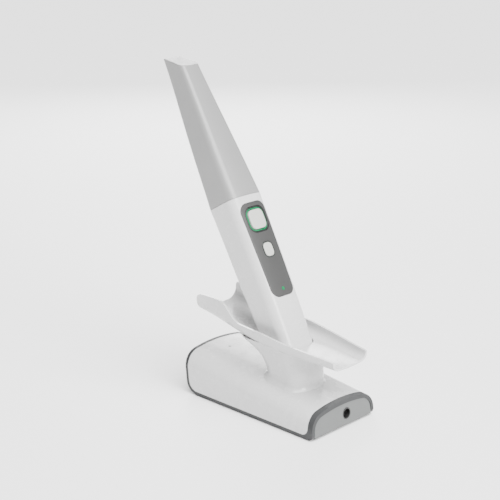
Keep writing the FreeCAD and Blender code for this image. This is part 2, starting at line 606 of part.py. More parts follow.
def make_optics():
    spot = ("axis_x", "0", "lens_low")
    tube = cut("lens_tube", rod("tube_outside", "lens_radius + 0.05 + lens_wall",
                                "lens_high - lens_low", spot),
               rod("tube_bore", "lens_radius + 0.05", "90", ("axis_x", "0", "lens_low - 5")))
    node(tube, "lens_barrel", "wand")
    make_lens("objective_lens", "objective_low")
    make_lens("relay_lens", "relay_low")
    glass = prism("glass", TOP, lambda sketch: rounded_rect(
        sketch, ("axis_x", "0"), "glass_depth - 0.1", "glass_width - 0.1", "1.95"),
        "nose_end_wall - 0.2", "taper_height - nose_end_wall + 0.1")
    node(glass, "front_glass", "wand")
    ring = prism("led_ring", TOP, lambda sketch: (
        rounded_rect(sketch, ("axis_x", "0"), "led_board_depth", "led_board_width", "2"),
        circle(sketch, ("axis_x", "0"), "lens_radius")), "1", "led_board_height")
    node(ring, "led_board", "wand")
    half = "led_size / 2"
    leds = [block("led_%d" % index, ("axis_x + %s - %s" % (x, half), "axis_x + %s + %s" % (x, half)),
                  ("%s - %s" % (y, half), "%s + %s" % (y, half)),
                  ("led_board_height + 1", "led_board_height + 1 + led_thick"))
            for index, (x, y) in enumerate((x, y) for x in ("led_rise", "-led_rise")
                                           for y in ("led_side", "-led_side"))]
    node(fuse("leds", *leds), "illumination_leds", "wand")
    plate = prism("sensor_plate", TOP, lambda sketch: rounded_rect(
        sketch, ("axis_x", "0"), "sensor_board_size", "sensor_board_size", "1.5"),
        "1.2", "sensor_board_height")
    node(plate, "camera_board", "wand")
    chip = prism("sensor_chip", TOP, lambda sketch: rounded_rect(
        sketch, ("axis_x", "0"), "sensor_size", "sensor_size", "0.4"),
        "sensor_thick", "sensor_board_height + 1.2")
    node(chip, "image_sensor", "wand")


# ---- handpiece: boards, cells and foot ----

def screw_spots(radius_x):
    """The four places where the main board is screwed down."""
    return [(radius_x, side, height) for height in ("screw_low", "screw_high")
            for side in ("screw_side", "-screw_side")]


def make_frame():
    """Metal plate behind the board with two ribs that hold the cells."""
    plate = block("frame_plate", ("frame_x", "frame_x + frame_thick"),
                  ("-frame_width / 2", "frame_width / 2"), ("frame_low", "frame_high"))
    cells_top = "cell_low + cell_length + tab_thick + 0.1"
    ribs = [block("frame_rib_%d" % index, ("-rib_back", "frame_x"),
                  ("-rib_width / 2", "rib_width / 2"), (low, low + " + rib_thick"))
            for index, low in enumerate(("cell_low - tab_thick - 0.1 - rib_thick", cells_top))]
    posts = [rod("frame_post_%d" % index, "2", "board_x - frame_x - frame_thick", spot, "x")
             for index, spot in enumerate(screw_spots("frame_x + frame_thick"))]
    holes = [rod("frame_hole_%d" % index, "small_screw_radius + screw_play", "6", spot, "x")
             for index, spot in enumerate(screw_spots("frame_x - 1"))]
    node(cut("frame", fuse("frame_solid", plate, *ribs, *posts), *holes), "inner_frame", "wand")


def make_main_board():
    def outline(sketch):
        rounded_rect(sketch, ("0", "(board_low + board_high) / 2"), "board_width",
                     "board_high - board_low", "2.5")
        for _, side, height in screw_spots("0"):
            circle(sketch, (side, height), "small_screw_radius + screw_play")

    node(prism("board", END, outline, "board_thick", "board_x"), "main_board", "wand")
    top = "board_x + board_thick"
    chips = [block("chip_%d" % index, (top, top + " + chip_thick"), ("-chip_size / 2", "chip_size / 2"),
                   (low, low + " + chip_size")) for index, low in enumerate(("chip_height", "38"))]
    node(fuse("chips", *chips), "board_chips", "wand")
    switches = []
    for index, centre in enumerate(("scan_height", "mode_height")):
        switches.append(block("switch_%d" % index, (top, top + " + switch_thick"),
                              ("-switch_size / 2", "switch_size / 2"),
                              (centre + " - switch_size / 2", centre + " + switch_size / 2")))
        switches.append(rod("knob_%d" % index, "knob_radius", "knob_thick",
                            (top + " + switch_thick", "0", centre), "x"))
    node(fuse("switches", *switches), "tact_switches", "wand")
    node(screws("board_screw", screw_spots("frame_x"), "x",
                "board_x + board_thick - frame_x", "small_head_thick",
                "small_screw_radius", "small_head_radius"), "board_screws", "wand")
    antenna = prism("antenna", END, lambda sketch: rounded_rect(
        sketch, ("0", "antenna_low + antenna_length / 2"), "antenna_width", "antenna_length", "1"),
        "0.8", "antenna_x")
    node(antenna, "antenna_board", "wand")


def make_battery():
    cells = [rod("cell_%d" % index, "cell_radius", "cell_length", ("cell_x", side, "cell_low"))
             for index, side in enumerate(("cell_pitch / 2", "-cell_pitch / 2"))]
    node(fuse("cells", *cells), "battery_cells", "wand")
    lows = ("cell_low - tab_thick - 0.05", "cell_low + cell_length + 0.05")
    tabs = [block("tab_%d" % index, ("cell_x - tab_depth / 2", "cell_x + tab_depth / 2"),
                  ("-tab_width / 2", "tab_width / 2"), (low, low + " + tab_thick"))
            for index, low in enumerate(lows)]
    node(fuse("tabs", *tabs), "battery_tabs", "wand")


def make_bottom_cap():
    disc = common("cap_disc", wand_loft("cap_loft", WAND_BODY),
                  wand_slab("cap_slab", "0", "cap_thick - 0.02"))
    rounded = doc.addObject("Part::Fillet", "cap_rounded")
    rounded.Base = disc
    low = [i for i, edge in enumerate(disc.Shape.Edges, 1) if edge.BoundBox.ZMax < 0.01]
    radius = amount("cap_round")
    rounded.Edges = [(i, radius, radius) for i in low]
    doc.recompute()
    spigot = common("spigot", wand_loft("spigot_loft", WAND_BODY, "-(shell_wall + spigot_play)"),
                    wand_slab("spigot_slab", "cap_thick / 2", "cap_thick + spigot_length"))
    hollow = common("spigot_hollow", wand_loft("spigot_inside", WAND_BODY,
                                               "-(shell_wall + spigot_play + spigot_wall)"),
                    wand_slab("hollow_slab", "cap_thick", "cap_thick + spigot_length + 1"))
    wells = [rod("pad_well_%d" % index, "pad_radius", "pad_thick", ("pad_x", side, "0"))
             for index, side in enumerate(("pad_side", "-pad_side"))]
    seats = [rod("cap_screw_seat_%d" % index, "small_head_radius + 0.1", "small_head_thick + 0.1",
                 ("0", side, "0")) for index, side in enumerate(("cap_screw_side", "-cap_screw_side"))]
    holes = [rod("cap_screw_hole_%d" % index, "small_screw_radius + screw_play", "8",
                 ("0", side, "0")) for index, side in enumerate(("cap_screw_side", "-cap_screw_side"))]
    node(cut("cap", fuse("cap_solid", rounded, spigot), hollow, *wells, *seats, *holes),
         "bottom_cap", "wand")
    pads = [rod("pad_%d" % index, "pad_radius", "pad_thick", ("pad_x", side, "0"))
            for index, side in enumerate(("pad_side", "-pad_side"))]
    node(fuse("pads", *pads), "charge_pads", "wand")
    spots = [("0", side, "0.1") for side in ("cap_screw_side", "-cap_screw_side")]
    node(screws("cap_screw", spots, "z", "cap_screw_length", "small_head_thick",
                "small_screw_radius", "small_head_radius", head_first=True), "cap_screws", "wand")


# ---- base: arched wedge, tray, cover ----

def base_section(name, x, grow):
    """Arch across the base at one place along it."""
    sketch = loose_sketch(name)
    arch_outline(sketch, "base_width + 2 * (%s)" % grow, "base_top - base_slope * (%s) + %s" % (x, grow),
                 "base_shoulder + %s" % grow, "base_crown + %s" % grow, "0", 1)
    sketch.Placement = Placement(Vector(), Rotation(Vector(1, 1, 1), 120))
    bind(sketch, ".Placement.Base.x", x)
    return sketch


def base_wedge(name, grow="0"):
    ends = ("base_left - 12", "base_right + 8")
    return loft(name, [base_section(name + "_end", x, grow) for x in ends], ruled=True)


def side_outline(name, left, right, low, left_round, right_round):
    """Side view between two leaning ends, with its two lower corners rounded."""
    body = new_body(name)
    sketch = sketch_in(body, SIDE)
    shift = "%s * tan(end_lean)"
    polygon(sketch, [("%s - %s" % (left, shift % low), low), ("%s - %s" % (right, shift % low), low),
                     ("%s - %s" % (right, shift % "70"), "70"), ("%s - %s" % (left, shift % "70"), "70")])
    base = pad(body, sketch, "100", True)

    def low_edge(edge, side):
        box = edge.BoundBox
        return box.YLength > 99 and box.ZMax < amount(low) + 0.01 and box.XMax * side > 0

    base = round_edges(body, base, lambda edge: low_edge(edge, -1), left_round)
    round_edges(body, base, lambda edge: low_edge(edge, 1), right_round)
    return body


def cover_zone(name, play="0"):
    return side_outline(name, "(base_left + band + %s)" % play, "(base_right - right_band - %s)" % play,
                        "(base_low + band + %s)" % play, "cover_round", "cover_right_round")


def end_slab(name, outer, inner):
    """Leaning slab between two depths behind the right end face."""
    body = new_body(name)
    sketch = sketch_in(body, SIDE)
    near, far = "base_right - (%s)" % outer, "base_right - (%s)" % inner
    lean = "60 * tan(end_lean)"
    polygon(sketch, [(far, "0"), (near, "0"), ("%s - %s" % (near, lean), "60"),
                     ("%s - %s" % (far, lean), "60")])
    pad(body, sketch, "100", True)
    return body


def seat_place(sketch, rise):
    """Stand a sketch on the seam plane of the cradle, parallel to the base's sloping top."""
    slope = math.degrees(math.atan(amount("base_slope")))
    sketch.Placement = Placement(Vector(), Rotation(Vector(0, 1, 0), slope))
    bind(sketch, ".Placement.Base.x", "seat_x + (%s) * base_slope" % rise)
    bind(sketch, ".Placement.Base.z", "base_top + seat_rise - base_slope * seat_x + %s" % rise)
    bind(sketch, ".Placement.Rotation.Angle", "atan(base_slope)")


def seat_section(name, rise, grow):
    sketch = loose_sketch(name)
    half, side = "seat_half_length + " + grow, "2 * (seat_half_width + %s)" % grow
    crowned_outline(sketch, side, half, half, ("seat_corner + " + grow,) * 2,
                    ("seat_crown + " + grow,) * 2)
    seat_place(sketch, rise)
    return sketch


def seat_slab(name, low, high):
    """Everything between two levels over the seam plane."""
    body = new_body(name)
    sketch = sketch_in(body, SIDE)
    level = "base_top + seat_rise + %s - base_slope * (%d)"
    ends = (-95, 95)
    polygon(sketch, [(str(ends[0]), level % (low, ends[0])), (str(ends[1]), level % (low, ends[1])),
                     (str(ends[1]), level % (high, ends[1])), (str(ends[0]), level % (high, ends[0]))])
    pad(body, sketch, "100", True)
    return body


def cable_shaft(name, play, low, high="0"):
    """Shaft along the handpiece's axis, below its foot, for the contact block and its cable."""
    shaft = block(name, ("-block_back - " + play, "block_front + " + play),
                  ("-block_half_width - " + play, "block_half_width + " + play), (low, high))
    lean = Rotation(Vector(0, 1, 0), -amount("wand_lean"))
    shaft.Placement = Placement(Vector(), lean)
    bind(shaft, ".Placement.Rotation.Angle", "-wand_lean")
    back = "(-block_back - %s)" % play
    bind(shaft, ".Placement.Base.x", "wand_x + %s * cos(wand_lean) - (%s) * sin(wand_lean)" % (back, low))
    bind(shaft, ".Placement.Base.z", "wand_z + %s * sin(wand_lean) + (%s) * cos(wand_lean)" % (back, low))
    return shaft


def cover_screw_spots(height):
    return [(x, y, height) for x in ("cover_screw_x", "-cover_screw_x")
            for y in ("cover_screw_y", "-cover_screw_y")]


def seat_screw_spots(depth):
    """Both screws under the cradle, at a depth below the base's top."""
    return [(x, "0", "base_top - base_slope * %s - (%s)" % (x, depth))
            for x in ("left_seat_screw", "right_seat_screw")]


def make_base_cover():
    skin = common("cover_skin", base_wedge("cover_wedge"), cover_zone("cover_zone"))
    flare = loft("collar_loft", [seat_section("collar_" + str(index), rise, grow) for index, (rise, grow)
                                 in enumerate((("-8", "8"), ("-4", "3.2"), ("-1.4", "0.8"), ("0", "0")))])
    hollow = common("cover_hollow", base_wedge("cover_inner_wedge", "-base_wall"),
                    block("cover_hollow_box", ("-95", "95"), ("-50", "50"), ("-1", "60")))
    posts = [rod("cover_post_%d" % index, "boss_radius", "40", spot)
             for index, spot in enumerate(cover_screw_spots("base_low + band + 0.02"))]
    dot_post = rod("dot_post", "2", "20", ("dot_x", "dot_y + 6", "dot_low"))
    bosses = common("cover_bosses", fuse("cover_posts", dot_post, *posts),
                    base_wedge("boss_limit", "-base_wall / 2"))
    shell = fuse("cover_shell", cut("cover_skin_hollow", fuse("cover_outside", skin, flare), hollow),
                 bosses)
    holes = [rod("cover_hole_%d" % index, "screw_radius", "12", spot)
             for index, spot in enumerate(cover_screw_spots("base_low"))]
    holes += [rod("seat_hole_%d" % index, "screw_radius + screw_play", "20", spot)
              for index, spot in enumerate(seat_screw_spots("base_wall + 2"))]
    holes.append(rod("dot_hole", "dot_radius + screw_play", "20", ("dot_x", "dot_y", "dot_low")))
    node(cut("cover", shell, cable_shaft("cover_shaft", "0.5", "-26", "3"), *holes), "base_cover")


def make_tray():
    """Floor and both end walls in one piece; the cover sits in the gap between them."""
    zone = side_outline("tray_outline", "base_left", "base_right", "base_low", "left_round",
                        "right_round")
    envelope = common("tray_envelope", base_wedge("tray_wedge"), zone)
    recess = common("end_recess", base_wedge("recess_wedge", "-recess_edge"),
                    end_slab("recess_slab", "-3", "recess_depth"),
                    block("recess_box", ("50", "90"), ("-50", "50"), ("recess_low", "60")))
    heads = [rod("tray_seat_%d" % index, "head_radius + 0.15",
                 "base_low + head_sink + head_thick + 0.05", spot)
             for index, spot in enumerate(cover_screw_spots("0"))]
    holes = [rod("tray_hole_%d" % index, "screw_radius + screw_play", "10", spot)
             for index, spot in enumerate(cover_screw_spots("0"))]
    collar = rod("tray_collar_hole", "collar_radius + 0.05", "30", ("55", "jack_y", "jack_z"), "x")
    mat = prism("tray_mat_recess", TOP, lambda sketch: rounded_rect(
        sketch, ("0", "0"), "grip_length + 0.2", "grip_pad_width + 0.2", "grip_pad_corner + 0.1"),
        "grip_thick")
    tray = cut("tray_body", envelope, cover_zone("tray_gap"), recess, collar, mat, *heads, *holes)
    posts = [rod("charger_post_%d" % index, "2.4", "charger_z - base_low - band + 0.2", spot)
             for index, spot in enumerate(charger_spots("base_low + band - 0.2"))]
    post_holes = [rod("charger_hole_%d" % index, "small_screw_radius + screw_play", "3.4", spot)
                  for index, spot in enumerate(charger_spots("charger_z - 3.2"))]
    node(cut("tray", fuse("tray_solid", tray, *posts), *post_holes), "chassis_tray")
    mat_pad = prism("mat", TOP, lambda sketch: rounded_rect(
        sketch, ("0", "0"), "grip_length", "grip_pad_width", "grip_pad_corner"), "grip_thick")
    node(mat_pad, "grip_pad")


def make_end_cap():
    slab = common("end_cap_plate", base_wedge("end_cap_wedge", "-(recess_edge + end_cap_play)"),
                  end_slab("end_cap_slab", "end_cap_sink", "recess_depth"),
                  block("end_cap_box", ("50", "90"), ("-50", "50"), ("recess_low + end_cap_play", "60")))
    hole = rod("end_cap_hole", "collar_radius + 0.05", "30", ("55", "jack_y", "jack_z"), "x")
    node(cut("end_cap", slab, hole), "right_end_cap")


def make_jack():
    centre = ("jack_y", "jack_z")
    housing = prism("jack_housing", END, lambda sketch: rounded_rect(
        sketch, centre, "jack_width", "jack_height", "0.8"), "jack_face - 1.2 - jack_back", "jack_back")
    spot = ("jack_back + 2", "jack_y", "jack_z")
    collar = rod("jack_collar", "collar_radius", "jack_front - jack_face + 3",
                 ("jack_face - 3",) + centre, "x")
    guide = rod("jack_guide", "guide_radius", "20", ("jack_face",) + centre, "x")
    socket = rod("jack_socket", "socket_radius", "20", spot, "x")
    node(cut("jack", fuse("jack_solid", housing, collar), guide, socket), "power_inlet")
    node(rod("inlet_pin_rod", "inlet_pin_radius", "jack_face - jack_back - 2.6", spot, "x"), "inlet_pin")


def charger_spots(height):
    return [("charger_x + %s * (charger_length / 2 - 4)" % x, "%s * (charger_width / 2 - 4)" % y, height)
            for x in ("1", "-1") for y in ("1", "-1")]


def make_charger():
    def outline(sketch):
        rounded_rect(sketch, ("charger_x", "0"), "charger_length", "charger_width", "3")
        for x, y, _ in charger_spots("0"):
            circle(sketch, (x, y), "small_screw_radius + screw_play")

    node(prism("charger", TOP, outline, "charger_thick", "charger_z"), "charging_board")
    top = "charger_z + charger_thick"
    parts = [block("charger_chip_%d" % index, (x, x + " + " + length), (y, y + " + " + width),
                   (top, top + " + " + tall))
             for index, (x, y, length, width, tall) in enumerate((
                 ("26", "8", "9", "9", "1.6"), ("42", "-17", "7", "7", "4"), ("40", "6", "6", "5", "1.4")))]
    node(fuse("charger_chips", *parts), "charger_chips")
    plug = block("cable_plug", ("27.5", "33.5"), ("-5", "5"), (top, top + " + 4"))
    node(plug, "cable_socket")
    node(screws("charger_screw", charger_spots("charger_z - 2.6"), "z", "2.6 + charger_thick",
                "small_head_thick", "small_screw_radius", "small_head_radius"), "charger_screws")


def make_ballast():
    weight = new_body("weight")
    sketch = sketch_in(weight, TOP, "base_low + band")
    rounded_rect(sketch, ("ballast_x", "0"), "ballast_length", "ballast_width", "4")
    slab = pad(weight, sketch, "ballast_thick")
    top = amount("base_low + band + ballast_thick")
    chamfer = weight.newObject("PartDesign::Chamfer", "weight_chamfer")
    chamfer.Base = (slab, ["Edge%d" % i for i, edge in enumerate(slab.Shape.Edges, 1)
                           if edge.BoundBox.ZMin > top - 0.01])
    chamfer.Size = 1
    doc.recompute()
    node(weight, "ballast_weight")


def make_base_screws():
    low = "base_low + head_sink"
    node(screws("cover_screw", cover_screw_spots(low), "z", "cover_screw_length", "head_thick",
                "screw_radius - 0.02", "head_radius", head_first=True), "cover_screws")
    node(screws("seat_screw", seat_screw_spots("base_wall + head_thick + 0.35"), "z",
                "seat_screw_length", "head_thick",
                "screw_radius - 0.02", "head_radius", head_first=True), "cradle_screws")


def make_indicator():
    pipe = rod("dot_pipe", "dot_radius", "20", ("dot_x", "dot_y", "dot_low"))
    node(common("dot", pipe, base_wedge("dot_limit", "-0.1")), "indicator_light")
    plate = prism("dot_plate", TOP, lambda sketch: rounded_rect(
        sketch, ("dot_x", "dot_y + 3"), "10", "14", "1"), "1", "dot_low - 1")
    node(plate, "indicator_board")


# ---- cradle ----

def trough_section(x, half_width, floor, corner, grow):
    sketch = loose_sketch("trough_section")
    arch_outline(sketch, "2 * (%s + %s)" % (half_width, grow), "%s - (%s)" % (floor, grow),
                 "%s + %s" % (corner, grow), "trough_crown + " + grow, "96", -1)
    sketch.Placement = Placement(Vector(), Rotation(Vector(1, 1, 1), 120))
    bind(sketch, ".Placement.Base.x", x)
    return sketch


def trough_loft(name, grow="0"):
    """Boat-shaped bowl: places along the base, each with its half width, floor and corner."""
    waists = (("-86", "29.6", "71.8", "13"), ("-22", "25.4", "60.2", "9"), ("28", "26.6", "56", "8"),
              ("52", "23.6", "55.2", "7.4"), ("82", "20.8", "54", "7"))
    return loft(name, [trough_section(*waist, grow) for waist in waists])


def rim_profile():
    """Side view of the trough: tall ears at the left, low lip at the right."""
    body = new_body("rim_profile")
    sketch = sketch_in(body, SIDE)
    points = (("-74.6", "40"), ("76.5", "40"), ("76.5", "62.9"), ("28", "68"), ("5", "70.9"),
              ("-28.4", "71.8"), ("-45.4", "85.8"), ("-73.8", "86.4"))
    polygon(sketch, points)
    base = pad(body, sketch, "100", True)

    def corner(x, z):
        return lambda edge: (edge.BoundBox.YLength > 99 and abs(edge.BoundBox.Center.x - x) < 0.01
                             and abs(edge.BoundBox.Center.z - z) < 0.01)

    for x, z, radius in ((-73.8, 86.4, "4"), (-45.4, 85.8, "14"), (-28.4, 71.8, "18"), (76.5, 62.9, "1.2")):
        base = round_edges(body, base, corner(x, z), radius)
    return body


def neck_section(height, centre, half_length, half_width):
    sketch = loose_sketch("neck_section")
    crowned_outline(sketch, "2 * " + half_width, "%s + %s" % (half_length, centre),
                    "%s - (%s)" % (half_length, centre), ("seat_corner", "seat_corner"),
                    ("neck_crown", "neck_crown"))
    bind(sketch, ".Placement.Base.z", height)
    return sketch


def make_cradle():
    foot = [seat_section("neck_foot_%d" % index, rise, "0") for index, rise in enumerate(("-2", "1.5"))]
    rings = [neck_section(*ring) for ring in (
        ("42", "16.2", "23.4", "19.4"), ("50", "12.6", "26", "20.6"), ("56.5", "8.4", "31.4", "22.6"),
        ("61", "6", "36", "24"))]
    neck = cut("neck", loft("neck_loft", foot + rings), seat_slab("below_neck", "-12", "0"))
    outside = fuse("cradle_outside", neck, common("trough_outside", trough_loft("trough_loft"),
                                                  rim_profile()))
    bowl = trough_loft("trough_bowl", "-trough_wall")
    pocket_sole = doc.addObject("Part::Extrusion", "pocket_sole")
    pocket_sole.Base = wand_section("foot", "pocket_gap")
    pocket_sole.Dir = Vector(0, 0, -1)
    pocket_sole.Solid = True
    bind(pocket_sole, "LengthFwd", "sole_gap")
    well = fuse("pocket", wand_loft("pocket_loft", WAND_BODY, "pocket_gap"), pocket_sole)
    well.Placement = Placement(Vector(), Rotation(Vector(0, 1, 0), -amount("wand_lean")))
    bind(well, ".Placement.Base.x", "wand_x")
    bind(well, ".Placement.Base.z", "wand_z")
    holes = [rod("neck_hole_%d" % index, "screw_radius", "seat_screw_length - 1.5", spot)
             for index, spot in enumerate(seat_screw_spots("0.5"))]
    node(cut("cradle_solid", outside, bowl, well, cable_shaft("neck_shaft", "0.05", "-20"), *holes),
         "cradle")


def make_contacts():
    sides = (("left", "pad_side"), ("right", "-pad_side"))
    outer = "pin_radius + pin_play + barrel_wall"
    body = block("contact_box", ("-block_back", "block_front"), ("-block_half_width", "block_half_width"),
                 ("-block_low", "-block_top"))
    bores = [rod("barrel_bore_" + side, outer, "20", ("pad_x", y, "-block_low - 5")) for side, y in sides]
    node(cut("contact", body, *bores), "contact_block", "wand")
    barrels = [cut("barrel_" + side, rod("barrel_outside_" + side, outer, "block_low - block_top",
                                         ("pad_x", y, "-block_low")),
                   rod("barrel_inside_" + side, "pin_radius + pin_play", "20",
                       ("pad_x", y, "-block_low + 0.5")))
               for side, y in sides]
    node(fuse("barrels", *barrels), "pin_barrels", "wand")
    for side, y in sides:
        pin = prism("pin_" + side, TOP, lambda sketch: circle(sketch, ("pad_x", y), "pin_radius"),
                    "pin_length", "-pin_length - pin_gap")
        node(pin, "charge_pin_" + side, "wand")


def make_contact_cable():
    """Flat cable from the charging board up to the contact block."""
    strip = new_body("strip")
    sketch = sketch_in(strip, SIDE)
    line = (("30.2", "charger_z + charger_thick + 4"), ("30.2", "20"), ("26.2", "30.2"))
    thick = "0.6"
    back = [("%s - %s" % (x, thick), z) for x, z in reversed(line)]
    polygon(sketch, [*line, *back])
    pad(strip, sketch, "8", True)
    node(strip, "contact_cable")


# ---- build, check, write ----

def write_parts():
    os.makedirs("parts", exist_ok=True)
    doc.recompute()
    faults = [thing.Label for thing in doc.Objects
              if "Invalid" in thing.State or "Error" in thing.State]
    faults += [thing.Label for thing in nodes if thing.Shape.isNull() or not thing.Shape.isValid()]
    if faults:
        raise RuntimeError("failed: " + ", ".join(faults))
    for thing in nodes:
        thing.Shape.exportStep("parts/%s.step" % thing.Label)
        print("%-20s %9.1f mm3 in %d solids" % (thing.Label, thing.Shape.Volume, len(thing.Shape.Solids)))


make_body_shell()
make_button_panel()
make_light_ring()
make_button("scan_button", "scan_height", "scan_size", "scan_size", "scan_corner", "scan_proud")
make_button("mode_button", "mode_height", "mode_width", "mode_length", "mode_corner", "mode_proud")
make_status_light()
make_tip_sleeve()
make_tip_mirror()
make_nose()
make_nose_seal()
make_optics()
make_frame()
make_main_board()
make_battery()
make_bottom_cap()
make_base_cover()
make_tray()
make_end_cap()
make_jack()
make_charger()
make_ballast()
make_base_screws()
make_indicator()
make_cradle()
make_contacts()
make_contact_cable()
write_parts()
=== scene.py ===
import json
import math

import bmesh
import bpy
from mathutils import Matrix, Vector

import numpy as np


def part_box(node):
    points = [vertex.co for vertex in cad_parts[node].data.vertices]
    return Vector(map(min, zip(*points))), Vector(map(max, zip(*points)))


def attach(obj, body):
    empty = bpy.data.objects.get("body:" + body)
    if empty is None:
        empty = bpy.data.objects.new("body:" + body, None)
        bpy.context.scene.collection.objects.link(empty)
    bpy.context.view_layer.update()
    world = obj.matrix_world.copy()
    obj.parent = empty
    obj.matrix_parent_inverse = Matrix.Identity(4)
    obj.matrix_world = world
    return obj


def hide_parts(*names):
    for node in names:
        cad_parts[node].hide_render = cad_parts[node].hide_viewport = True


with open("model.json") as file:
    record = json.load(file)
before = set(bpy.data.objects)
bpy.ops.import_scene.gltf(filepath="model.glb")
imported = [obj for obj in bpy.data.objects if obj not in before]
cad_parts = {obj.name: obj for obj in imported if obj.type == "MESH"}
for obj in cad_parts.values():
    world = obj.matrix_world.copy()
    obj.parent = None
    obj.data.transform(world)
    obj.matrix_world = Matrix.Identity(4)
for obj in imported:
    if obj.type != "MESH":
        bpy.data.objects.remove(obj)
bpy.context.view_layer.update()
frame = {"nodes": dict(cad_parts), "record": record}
MM = 0.001


# ---- camera, light and floor ----

CAMERA_SPOT = Vector((0.6676, -0.7236, 0.4356))
CAMERA_TURN = math.radians(44.13)
CAMERA_DROP = math.radians(16.966)
CAMERA_LENS = 90.86
SENSOR = 36.0
FAR_CLIP = 20

WORLD_LIGHT = 0.6
SUN_POWER = 8.5
SUN_WIDTH = math.radians(55)
SUN_SIDE = Vector((0.5, -0.12, 1.0))
FLOOR_SIZE = 40
FLOOR_DROP = 0.0002
# name, spot, aim, size, power
SOFT_BOXES = (
    ("key_light", (1.3, -0.1, 0.7), (0, 0, 0.12), 0.6, 20),
    ("fill_light", (-1.0, 0.9, 0.65), (-0.02, 0, 0.03), 0.6, 14),
)


def make_camera():
    camera = bpy.data.objects.new("camera", bpy.data.cameras.new("camera"))
    camera.data.lens = CAMERA_LENS
    camera.data.sensor_width = SENSOR
    camera.data.clip_end = FAR_CLIP
    camera.location = CAMERA_SPOT
    camera.rotation_euler = (math.pi / 2 - CAMERA_DROP, 0, CAMERA_TURN)
    bpy.context.scene.collection.objects.link(camera)
    bpy.context.scene.camera = camera


def soft_light(name, spot, aim, size, power):
    """A square soft box that faces its aim."""
    data = bpy.data.lights.new(name, "AREA")
    data.size = size
    data.energy = power
    lamp = bpy.data.objects.new(name, data)
    lamp.location = spot
    lamp.rotation_euler = (Vector(aim) - Vector(spot)).to_track_quat("-Z", "Y").to_euler()
    bpy.context.scene.collection.objects.link(lamp)


def make_studio():
    world = bpy.data.worlds.new("studio")
    world.use_nodes = True
    backdrop = world.node_tree.nodes["Background"]
    backdrop.inputs["Color"].default_value = (1, 1, 1, 1)
    backdrop.inputs["Strength"].default_value = WORLD_LIGHT
    bpy.context.scene.world = world
    sun = bpy.data.lights.new("overhead_light", "SUN")
    sun.energy, sun.angle = SUN_POWER, SUN_WIDTH
    lamp = bpy.data.objects.new("overhead_light", sun)
    lamp.rotation_euler = SUN_SIDE.to_track_quat("Z", "Y").to_euler()
    bpy.context.scene.collection.objects.link(lamp)
    for box in SOFT_BOXES:
        soft_light(*box)
    bpy.ops.mesh.primitive_plane_add(size=FLOOR_SIZE, location=(0, 0, -FLOOR_DROP))
    floor = bpy.context.object
    floor.name = "floor"
    floor.data.materials.append(plain_floor())


# ---- shader helpers ----

class Signal:
    """A shader socket whose arithmetic adds Math nodes."""

    def __init__(self, shader, socket):
        self.shader, self.socket = shader, socket

    def math(self, operation, *others):
        return self.shader.add("ShaderNodeMath", {"operation": operation},
                               {index: value for index, value in enumerate((self, *others))})

    def __add__(self, other):
        return self.math("ADD", other)

    def __mul__(self, other):
        return self.math("MULTIPLY", other)


class Shader:
    """One material under construction, with a Principled shader at its end."""

    def __init__(self, name, **constants):
        self.material = bpy.data.materials.new(name)
        self.material.use_nodes = True
        self.tree = self.material.node_tree
        self.surface = self.tree.nodes["Principled BSDF"]
        for socket, value in constants.items():
            self.surface.inputs[socket.replace("_", " ")].default_value = value

    def add(self, kind, settings=(), inputs=(), output=0):
        node = self.tree.nodes.new(kind)
        for key, value in dict(settings).items():
            if key == "stops":
                self.set_stops(node.color_ramp, value)
            else:
                setattr(node, key, value)
        for key, value in dict(inputs).items():
            self.feed(node.inputs[key], value)
        return Signal(self, node.outputs[output])

    @staticmethod
    def set_stops(ramp, stops):
        while len(ramp.elements) < len(stops):
            ramp.elements.new(0.5)
        for element, (place, colour) in zip(ramp.elements, stops):
            element.position = place
            element.color = colour

    def feed(self, socket, value):
        if isinstance(value, Signal):
            self.tree.links.new(value.socket, socket)
        else:
            socket.default_value = value

    def drive(self, **signals):
        for name, signal in signals.items():
            self.feed(self.surface.inputs[name.replace("_", " ")], signal)

    def noise(self, size_mm, detail, rough=0.55):
        """Noise of one size over the piece's own coordinates."""
        spot = self.add("ShaderNodeTexCoord", output="Object")
        return self.add("ShaderNodeTexNoise", {}, {
            "Vector": spot, "Scale": 1 / (size_mm * MM), "Detail": detail, "Roughness": rough})

    @staticmethod
    def around(signal, middle, spread):
        """A value that wanders evenly to both sides of its middle."""
        return signal * spread + (middle - spread / 2)

    def blend(self, factor, first, second):
        return self.add("ShaderNodeMix", {"data_type": "RGBA"},
                        {0: factor, 6: first, 7: second}, output=2)

    def ramp(self, signal, *stops):
        """Grey values from a signal, given as pairs of place and value."""
        grey = [(place, (value, value, value, 1)) for place, value in stops]
        return self.add("ShaderNodeValToRGB", {"stops": grey}, {0: signal})

    def bump(self, height, depth_mm, strength):
        self.drive(Normal=self.add("ShaderNodeBump", {}, {
            "Height": height, "Distance": depth_mm * MM, "Strength": strength}))


def tint(value, *rest):
    """An opaque colour from one grey value or from red, green and blue."""
    return (value, *rest, 1) if rest else (value, value, value, 1)


def dimmed(colour, share):
    """The same colour with less light in it."""
    return tint(*(part * share for part in colour[:3]))


def plain_floor():
    return Shader("pale_floor", Base_Color=tint(0.95), Roughness=0.6).material


def gloss_white():
    """Gloss moulded plastic: faint flow mottling, orange peel, handling marks in the gloss."""
    shader = Shader("gloss_white_plastic", Coat_Weight=0.35, Coat_Roughness=0.12, IOR=1.49)
    mottle = shader.noise(size_mm=26, detail=2)
    smear = shader.ramp(shader.noise(size_mm=9, detail=5, rough=0.6), (0.42, 0.0), (0.66, 1.0))
    shader.drive(Base_Color=shader.blend(mottle, tint(0.53), tint(0.575)),
                 Roughness=smear * 0.10 + 0.22)
    peel = shader.noise(size_mm=1.6, detail=2)
    shader.bump(peel, depth_mm=0.012, strength=0.6)
    return shader.material


